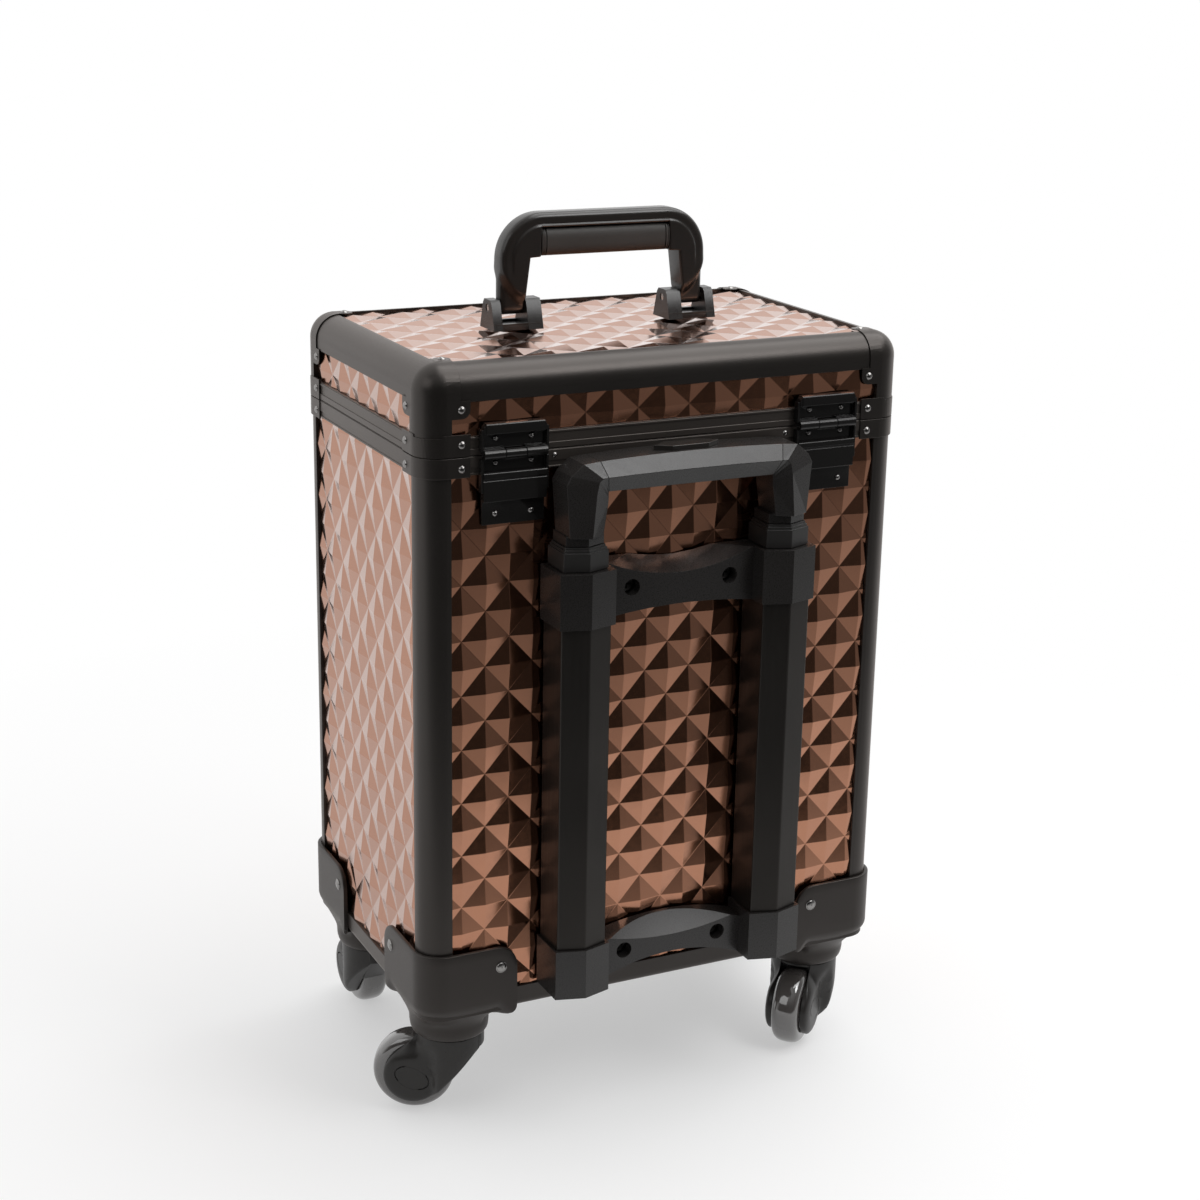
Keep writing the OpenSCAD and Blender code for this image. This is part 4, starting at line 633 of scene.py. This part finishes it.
# lengths along the heading and heights over the floor; inner and outer are half widths over both arms, cap an
# oval's half axes, cavity the radius of the wheel's hollow, section the crown's outline as shares of its reach
fork = {"trail": 24, "axle": 27.5, "top": 59, "topR": 23.5, "endR": 19.5, "inner": 10.8, "outer": 16.6,
    "cap": (12.2, 7.8), "capTurn": 25, "capGap": 0.45, "capDepth": 0.9, "dome": 3.4, "domeWide": 8.5,
    "cavity": 29, "cavityTurn": (176, 96), "edge": 0.5, "edgeHigh": 0.6, "flat": 12.6, "flatSoft": 7, "neckLow": 40,
    "neckRise": 15, "endTurn": (-136, 34), "line": ((-20.9, 48.5), (9.9, 14.0)),
    "front": [(37.6, 42.0), (34.0, 45.4), (30.0, 48.4), (26.6, 51.0), (24.2, 53.6), (22.4, 56.4), (21.0, 58.5),
        (20.6, 59)],
    "section": [(-1, 49), (-1, 58.4), (-0.98, 59), (-0.5, 59), (0, 59), (0.5, 59), (0.98, 59), (1, 58.4), (1, 57.0)]}


def forkSide(f):
    # side outline of an arm, seen from the axle: round end, hollow front edge under the round top, the top,
    # and the straight back edge; also the same outline without its top
    t, a, r = f["trail"], f["axle"], f["endR"]
    angles = arc(*f["endTurn"], 40)
    end = np.stack([t + r * np.cos(angles), a + r * np.sin(angles)], 1)
    front = np.array(f["front"])
    topX = np.linspace(front[-1, 0], -front[-1, 0], 22)[1:]
    top = np.stack([topX, np.full(len(topX), f["top"])], 1)
    back = np.stack([np.full(4, f["line"][0][0]), [58.5, 56, 53, 50]], 1)
    line = np.linspace(*f["line"], 14)[:-1]
    outline = np.concatenate([end, front, top, back, line])
    topFrom = len(end) + len(front)
    return outline, np.concatenate([outline[:topFrom], outline[topFrom + len(top) + 1:]])


def armWidth(x, z, edgeFar, f):
    # half width over both arms: the round top goes over into the arms, whose outer faces are domed
    # towards their edges
    roundTop = np.sqrt(np.clip(f["topR"] ** 2 - x ** 2, f["inner"] ** 2, None))
    arm = f["outer"] + (roundTop - f["outer"]) * smooth((f["flat"] - x) / f["flatSoft"])
    high = smooth((z - f["neckLow"]) / f["neckRise"])
    dome = f["dome"] * (1 - np.sqrt(1 - (1 - np.clip(edgeFar / f["domeWide"], 0, 1)) ** 2)) * (1 - high)
    wide = arm + (roundTop - arm) * high - dome
    wide -= f["edge"] * np.clip(1 - (f["top"] - z) / f["edgeHigh"], 0, 1)
    return np.maximum(wide, f["inner"] + 0.15)


def crownSlab(f):
    # the crown between the arms: a round slab with the wheel's hollow under it
    across = np.linspace(-1, 1, 13) * (f["inner"] + 0.2)
    reach = np.sqrt(f["topR"] ** 2 - across ** 2)
    hollow = arc(*f["cavityTurn"], 16)
    cavityX = f["trail"] + f["cavity"] * np.cos(hollow[::-1])
    cavityZ = f["axle"] + f["cavity"] * np.sin(hollow[::-1])
    top = np.array(f["section"])[None] * np.stack([reach, np.ones(len(reach))], -1)[:, None]
    arch = np.stack([np.minimum(cavityX[None], reach[:, None] - 0.3), np.tile(cavityZ, (len(reach), 1))], -1)
    rows = np.concatenate([top, arch], 1)
    slab = np.stack([rows[:, :, 0], np.broadcast_to(across[:, None], rows.shape[:2]), rows[:, :, 1]], -1)
    return slab.reshape(-1, 3), tubeFaces(len(rows), rows.shape[1])


def forkPoints(f):
    # each arm is rings around the axle, from the cap's middle out to the side outline and back along the
    # inner face
    side, freeEdge = forkSide(f)
    axle = np.array([f["trail"], f["axle"]])
    far = np.linalg.norm(side - axle, axis=1)
    way = (side - axle) / far[:, None]
    # the cap is an oval set off by a fine groove
    turned = np.arctan2(way[:, 1], way[:, 0]) - math.radians(f["capTurn"])
    capR = 1 / np.sqrt((np.cos(turned) / f["cap"][0]) ** 2 + (np.sin(turned) / f["cap"][1]) ** 2)
    capR = np.minimum(capR, far - 3)
    gap = f["capGap"]
    radii = [far * 0 + 0.5, capR * 0.5, capR - gap - 0.25, capR - gap, capR, capR + 0.25]
    radii += [capR + 0.3 + (far - capR - 0.3) * grow for grow in np.sin(np.linspace(0, np.pi / 2, 15))[1:]]
    groove = np.zeros(len(radii))
    groove[3:5] = f["capDepth"]
    flat = np.array([axle + way * r[:, None] for r in radii])
    # the dome falls towards the free edges, and not towards the top
    edgeFar = np.min(np.linalg.norm(flat[:, :, None, :] - freeEdge[None, None], axis=-1), axis=2)
    y = armWidth(flat[:, :, 0], flat[:, :, 1], edgeFar, f) - groove[:, None]
    xz = np.concatenate([flat, [side, axle + way]])
    ys = np.concatenate([y, np.full((2, len(side)), f["inner"])])
    arms = [np.stack([xz[:, :, 0], sign * ys, xz[:, :, 1]], -1).reshape(-1, 3) for sign in (1, -1)]
    return [(arm, tubeFaces(len(xz), len(side))) for arm in arms] + [crownSlab(f)]


def onCaster(points, corner):
    # turns points about the swivel axis by the caster's heading at rest and sets them under its corner
    signX, signY, heading = corners[corner]
    c, s = math.cos(math.radians(heading)), math.sin(math.radians(heading))
    x, y, z = np.asarray(points).T
    centreX = signX * (halfW - bracket["axis"][0])
    centreY = middleY + signY * (halfD - bracket["axis"][1])
    return np.stack([centreX + x * c - y * s, centreY + x * s + y * c, z], -1)


tyre = {"radius": 27.5, "inner": 17.05, "half": 10, "power": 2.9, "tread": 9, "lip": 0.5, "lipEnd": 0.02,
    "around": 112}


def tyrePoints(t):
    # a squared-off half circle turned about the axle, with a sloped edge where it meets the hub
    a = arc(-90, 90, 29)
    c, s = np.cos(a), np.sin(a)
    square = (np.abs(c) ** t["power"] + np.abs(s) ** t["power"]) ** (-1 / t["power"])
    slope, side = t["inner"] + t["lip"], t["half"] - t["lipEnd"]
    r = np.concatenate([[slope, t["inner"], t["inner"], slope], t["radius"] - t["tread"] + t["tread"] * square * c])
    w = np.concatenate([[side, t["half"] - t["lip"], t["lip"] - t["half"], -side], t["half"] * square * s])
    turn = np.linspace(0, 2 * np.pi, t["around"], endpoint=False)[:, None]
    x, z = fork["trail"] + r * np.cos(turn), fork["axle"] + r * np.sin(turn)
    rings = np.stack(np.broadcast_arrays(x, w, z), -1)
    return rings.reshape(-1, 3), gridFaces(t["around"], len(r), wrapRows=True, wrapColumns=True)


# reach is from the case's corner along x and y
rivet = {"radius": 3.4, "dome": 1.1, "foot": 0.5, "collar": 0.35, "collarWide": 1.15, "reach": (52, 56.5),
    "height": 116, "around": 28}


def rivetPoints(r, spot, outwardWay):
    # a low dome with a fine collar, turned about its own axis
    t = np.linspace(0, np.pi / 2, 9)[:-1]
    ring = np.concatenate([[r["collarWide"], r["collarWide"], 1.02], np.cos(t), [0.03]]) * r["radius"]
    dome = r["collar"] + r["dome"] * np.append(np.sin(t), 1)
    rise = np.concatenate([[-r["foot"], r["collar"], r["collar"] + 0.1], dome])
    turn = np.linspace(0, 2 * np.pi, r["around"], endpoint=False)[None, :, None]
    way, up = np.array(outwardWay, float), np.array([0, 0, 1.0])
    flat = np.cos(turn) * np.cross(way, up) + np.sin(turn) * up
    points = np.array(spot) + ring[:, None, None] * flat + rise[:, None, None] * way
    return points.reshape(-1, 3), tubeFaces(len(ring), r["around"])


bracketRivets = []
for signX, signY, heading in corners.values():
    faceX, faceY = signX * (halfW + bracket["proud"]), middleY + signY * (halfD + bracket["proud"])
    backSpot = signX * (halfW - rivet["reach"][0]), faceY, rivet["height"]
    sideSpot = faceX, middleY + signY * (halfD - rivet["reach"][1]), rivet["height"]
    bracketRivets += [rivetPoints(rivet, backSpot, (0, signY, 0)), rivetPoints(rivet, sideSpot, (signX, 0, 0))]
addPiece("bracket_rivets", bracketRivets, 50, "case", [], "darkRivet")

for corner in corners:
    shell = [(onCaster(points, corner), faces) for points, faces in forkPoints(fork)]
    addPiece("fork_shell_" + corner, shell, 34, "caster_" + corner, ["fork_" + corner], "forkPlastic")
    points, faces = tyrePoints(tyre)
    tread = [(onCaster(points, corner), faces)]
    addPiece("tyre_tread_" + corner, tread, 60, "wheel_" + corner, ["tyre_" + corner], "tyreRubber")
print("casters made")

# a hinge's distance in from the case's side, its half width, and each fold's outline: rows of the distance
# from the back face, the height over the seam and the corner's radius
hinge = {"in": 59, "half": 21,
    "body": {"past": 0.15, "outline": [(0.2, -28.8, 0.05), (5.3, -28.8, 0.5), (5.3, -15.6, 0.8), (4.4, -15.1, 0.15),
        (4.4, -14.3, 0.15), (6.1, -14.0, 0.3), (6.1, -10.2, 1.3), (0.2, -10.2, 0.05)]},
    "lid": {"past": -1.6, "outline": [(0.2, 13.6, 0.05), (6.0, 13.6, 0.6), (6.0, 20.3, 1.5), (0.2, 20.3, 0.05)]}}


def roundedLine(outline, steps=6):
    # a closed outline whose corners are quadratic curves from one side to the other
    line = []
    for k, (x, y, r) in enumerate(outline):
        before, after = np.array(outline[k - 1][:2]) - (x, y), np.array(outline[(k + 1) % len(outline)][:2]) - (x, y)
        before, after = before / np.linalg.norm(before), after / np.linalg.norm(after)
        t = np.linspace(0, 1, steps)[:, None]
        line.append(np.array([x, y]) + r * (before * (1 - t) ** 2 + after * t ** 2))
    return np.concatenate(line)


def hingeFold(h, leaf, side):
    # a pressed fold across the leaf: one outline of depth and height carried along the case's width
    line = roundedLine(h[leaf]["outline"])
    x = side * (halfW - h["in"]) + np.linspace(-1, 1, 5) * (h["half"] + h[leaf]["past"])
    points = np.stack(np.broadcast_arrays(x[:, None], backY + line[:, 0], case["seam"] + line[:, 1]), -1)
    return points.reshape(-1, 3), tubeFaces(len(x), len(line))


for leaf, body in (("body", "case"), ("lid", "lid")):
    folds = [hingeFold(hinge, leaf, side) for side in (1, -1)]
    addPiece("hinge_" + leaf + "_folds", folds, 40, body, [], "blackEnamel")
print("hinge folds made")

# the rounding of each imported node's edges; crisp ones have shallow facets, so edges of smaller angles count too
rounded = {
    "corner_posts": 0.4, "bottom_rails": 0.4, "body_rim": 0.35, "lid_rim": 0.35, "lid_top_rails": 0.3,
    "body_seam_plates": 0.4, "lid_seam_plates": 0.4, "lid_corner_caps": 0.3,
    "trolley_rails": 1.0, "upper_bracket": 0.5, "lower_bracket": 0.5, "middle_collars": 0.5, "middle_tubes": 0.8,
    "inner_tubes": 0.7, "grip_elbows": 0.5, "grip_bar": 0.5, "grip_button": 0.6, "handle_bases": 0.7,
    "hinge_body_leaves": 0.5, "hinge_lid_leaves": 0.5, "latch_bases": 0.4, "latch_keepers": 0.4,
    "latch_lever_left": 0.6, "latch_lever_right": 0.6,
}
rounded.update({"axle_" + corner: 0.3 for corner in corners})
crisp = ("upper_bracket", "lower_bracket", "grip_bar", "grip_elbows", "middle_collars")
roundAngle, crispAngle = 28, 12
bodyOf = {node: body for body, nodes in frame["record"]["behaviour"]["bodies"].items() for node in nodes}
for node, width in rounded.items():
    copy = softCopy(node, width, crispAngle if node in crisp else roundAngle)
    place(copy, bodyOf[node], [node], paints[nodeFinish[node]])
print("rounded copies made:", len(rounded))


# a lamp's row has its place, aim and size in metres and its power in watts; a ramp's row has its first and last
# value and where it starts and ends
studio = {
    "floor": (0.86, 0.86, 0.86), "floorWide": 5000, "floorFar": 9000, "floorNear": 950, "mirrored": 0.82,
    "outwards": (0.78, 0.2, 0.38, 0.9), "sideways": (1.0, 0.7, -0.5, 0.0), "behind": (1.0, 0.0, 0.39, 0.46),
    "whiten": (0.45, 1, 0.3, 1.0), "backdrop": (1.0, 0.0, -0.15, 0.35), "dusk": (0.20, 0.03, -0.75, -0.25),
    "overhead": (0.0, 0.40, 0.25, 0.8),
    "key": ((2.2, 0.9, 1.7), (0, 0, 0.3), 1.5, 8),
    "front": ((-0.9, 1.4, 2.0), (0, 0, 0.35), 0.8, 12),
    "top": ((-0.85, 0.15, 2.1), (0, 0, 0.4), 1.8, 26),
}


def addFloor(s):
    # a pale sweep that ends behind the photographer; far from the case it goes over into the white backdrop
    across = np.linspace(-s["floorWide"], s["floorWide"], 21)
    x, y = np.meshgrid(across, np.linspace(-s["floorFar"], s["floorNear"], 31))
    floor = makePiece("studio_floor", np.stack([x, y, np.zeros_like(x)], -1).reshape(-1, 3), gridFaces(*x.shape))
    material, tree, shader = startMaterial("studioFloor", s["floor"], 0, 0.6, {})
    coords = addNode(tree, "ShaderNodeTexCoord")
    split = addNode(tree, "ShaderNodeSeparateXYZ")
    tree.links.new(coords.outputs["Object"], split.inputs[0])
    # in front of the back wall it darkens towards its end and to the right
    outwards = ramp(tree, split.outputs["Y"], *s["outwards"])
    sideways = ramp(tree, split.outputs["X"], *s["sideways"])
    behind = ramp(tree, split.outputs["Y"], *s["behind"])
    near = combine(tree, "MAXIMUM", combine(tree, "MULTIPLY", outwards, sideways), behind)
    # the camera sees a pale floor everywhere, and only the case mirrors the darker part
    path = addNode(tree, "ShaderNodeLightPath")
    shown = combine(tree, "MAXIMUM", combine(tree, "MULTIPLY", near, s["mirrored"]), path.outputs["Is Camera Ray"])
    white = addNode(tree, "ShaderNodeEmission", Strength=1.0)
    tree.links.new(shown, white.inputs["Strength"])
    tree.links.new(colourMix(tree, shown, (0, 0, 0), s["floor"]), shader.inputs["Base Color"])
    distance = addNode(tree, "ShaderNodeVectorMath", operation="LENGTH")
    tree.links.new(coords.outputs["Object"], distance.inputs[0])
    mix = addNode(tree, "ShaderNodeMixShader")
    tree.links.new(ramp(tree, distance.outputs["Value"], *s["whiten"]), mix.inputs[0])
    tree.links.new(shader.outputs[0], mix.inputs[1])
    tree.links.new(white.outputs[0], mix.inputs[2])
    tree.links.new(mix.outputs[0], tree.nodes["Material Output"].inputs[0])
    floor.data.materials.append(material)


def addWorld(s):
    # white behind the case, dim above it and at the left, and dark on the photographer's side; the camera
    # sees white everywhere
    world = bpy.data.worlds.new("studioWorld")
    bpy.context.scene.world = world
    world.use_nodes = True
    tree = world.node_tree
    background = tree.nodes["Background"]
    background.inputs["Color"].default_value = (1, 1, 1, 1)
    coords = addNode(tree, "ShaderNodeTexCoord")
    split = addNode(tree, "ShaderNodeSeparateXYZ")
    tree.links.new(coords.outputs["Generated"], split.inputs[0])
    backdrop = ramp(tree, split.outputs["Y"], *s["backdrop"])
    dusk = ramp(tree, split.outputs["X"], *s["dusk"])
    above = ramp(tree, split.outputs["Z"], *s["overhead"])
    light = combine(tree, "MAXIMUM", combine(tree, "MAXIMUM", backdrop, dusk), above)
    path = addNode(tree, "ShaderNodeLightPath")
    seen = combine(tree, "MAXIMUM", path.outputs["Is Camera Ray"], light)
    tree.links.new(seen, background.inputs["Strength"])


def turnedTo(right, up, back, spot):
    # the matrix of a thing at a spot whose own x, y and z point right, up and back
    return Matrix([[*row, at] for row, at in zip(np.stack([right, up, back], 1), spot)] + [[0, 0, 0, 1]])


def addLamp(name, spot, aim, size, power):
    lamp = bpy.data.lights.new(name, "AREA")
    lamp.size, lamp.energy = size, power
    holder = bpy.data.objects.new(name, lamp)
    bpy.context.collection.objects.link(holder)
    back = np.array(spot, float) - aim
    back /= np.linalg.norm(back)
    right = np.cross([0, 0, 1], back)
    right /= np.linalg.norm(right)
    holder.matrix_world = turnedTo(right, np.cross(back, right), back, spot)


# the view solved from the photograph's edges: angles in radians, place in millimetres
view = {"sensor": 36, "lens": 65.26, "shift": (0.00623, -0.0133), "yaw": 0.452883, "pitch": 0.294398,
    "roll": 0.017207, "right": 633.47, "behindBack": 1189.14, "height": 771.21, "clipEnd": 50}


def addCamera(v):
    lens = bpy.data.cameras.new("photo_camera")
    camera = bpy.data.objects.new("photo_camera", lens)
    bpy.context.collection.objects.link(camera)
    lens.sensor_width, lens.lens = v["sensor"], v["lens"]
    lens.shift_x, lens.shift_y = v["shift"]
    lens.clip_end = v["clipEnd"]
    yaw, pitch, roll = v["yaw"], v["pitch"], v["roll"]
    forward = np.array([-math.sin(yaw) * math.cos(pitch), -math.cos(yaw) * math.cos(pitch), -math.sin(pitch)])
    level = np.array([-math.cos(yaw), math.sin(yaw), 0])
    upright = np.cross(level, forward)
    right = math.cos(roll) * level + math.sin(roll) * upright
    up = -math.sin(roll) * level + math.cos(roll) * upright
    spot = np.array([v["right"], backY + v["behindBack"], v["height"]]) * mm
    camera.matrix_world = turnedTo(right, up, -forward, spot)
    bpy.context.scene.camera = camera


addFloor(studio)
addWorld(studio)
for name in ("key", "front", "top"):
    addLamp(name, *studio[name])
addCamera(view)
bpy.context.scene.view_settings.view_transform = "Standard"
print("studio made")
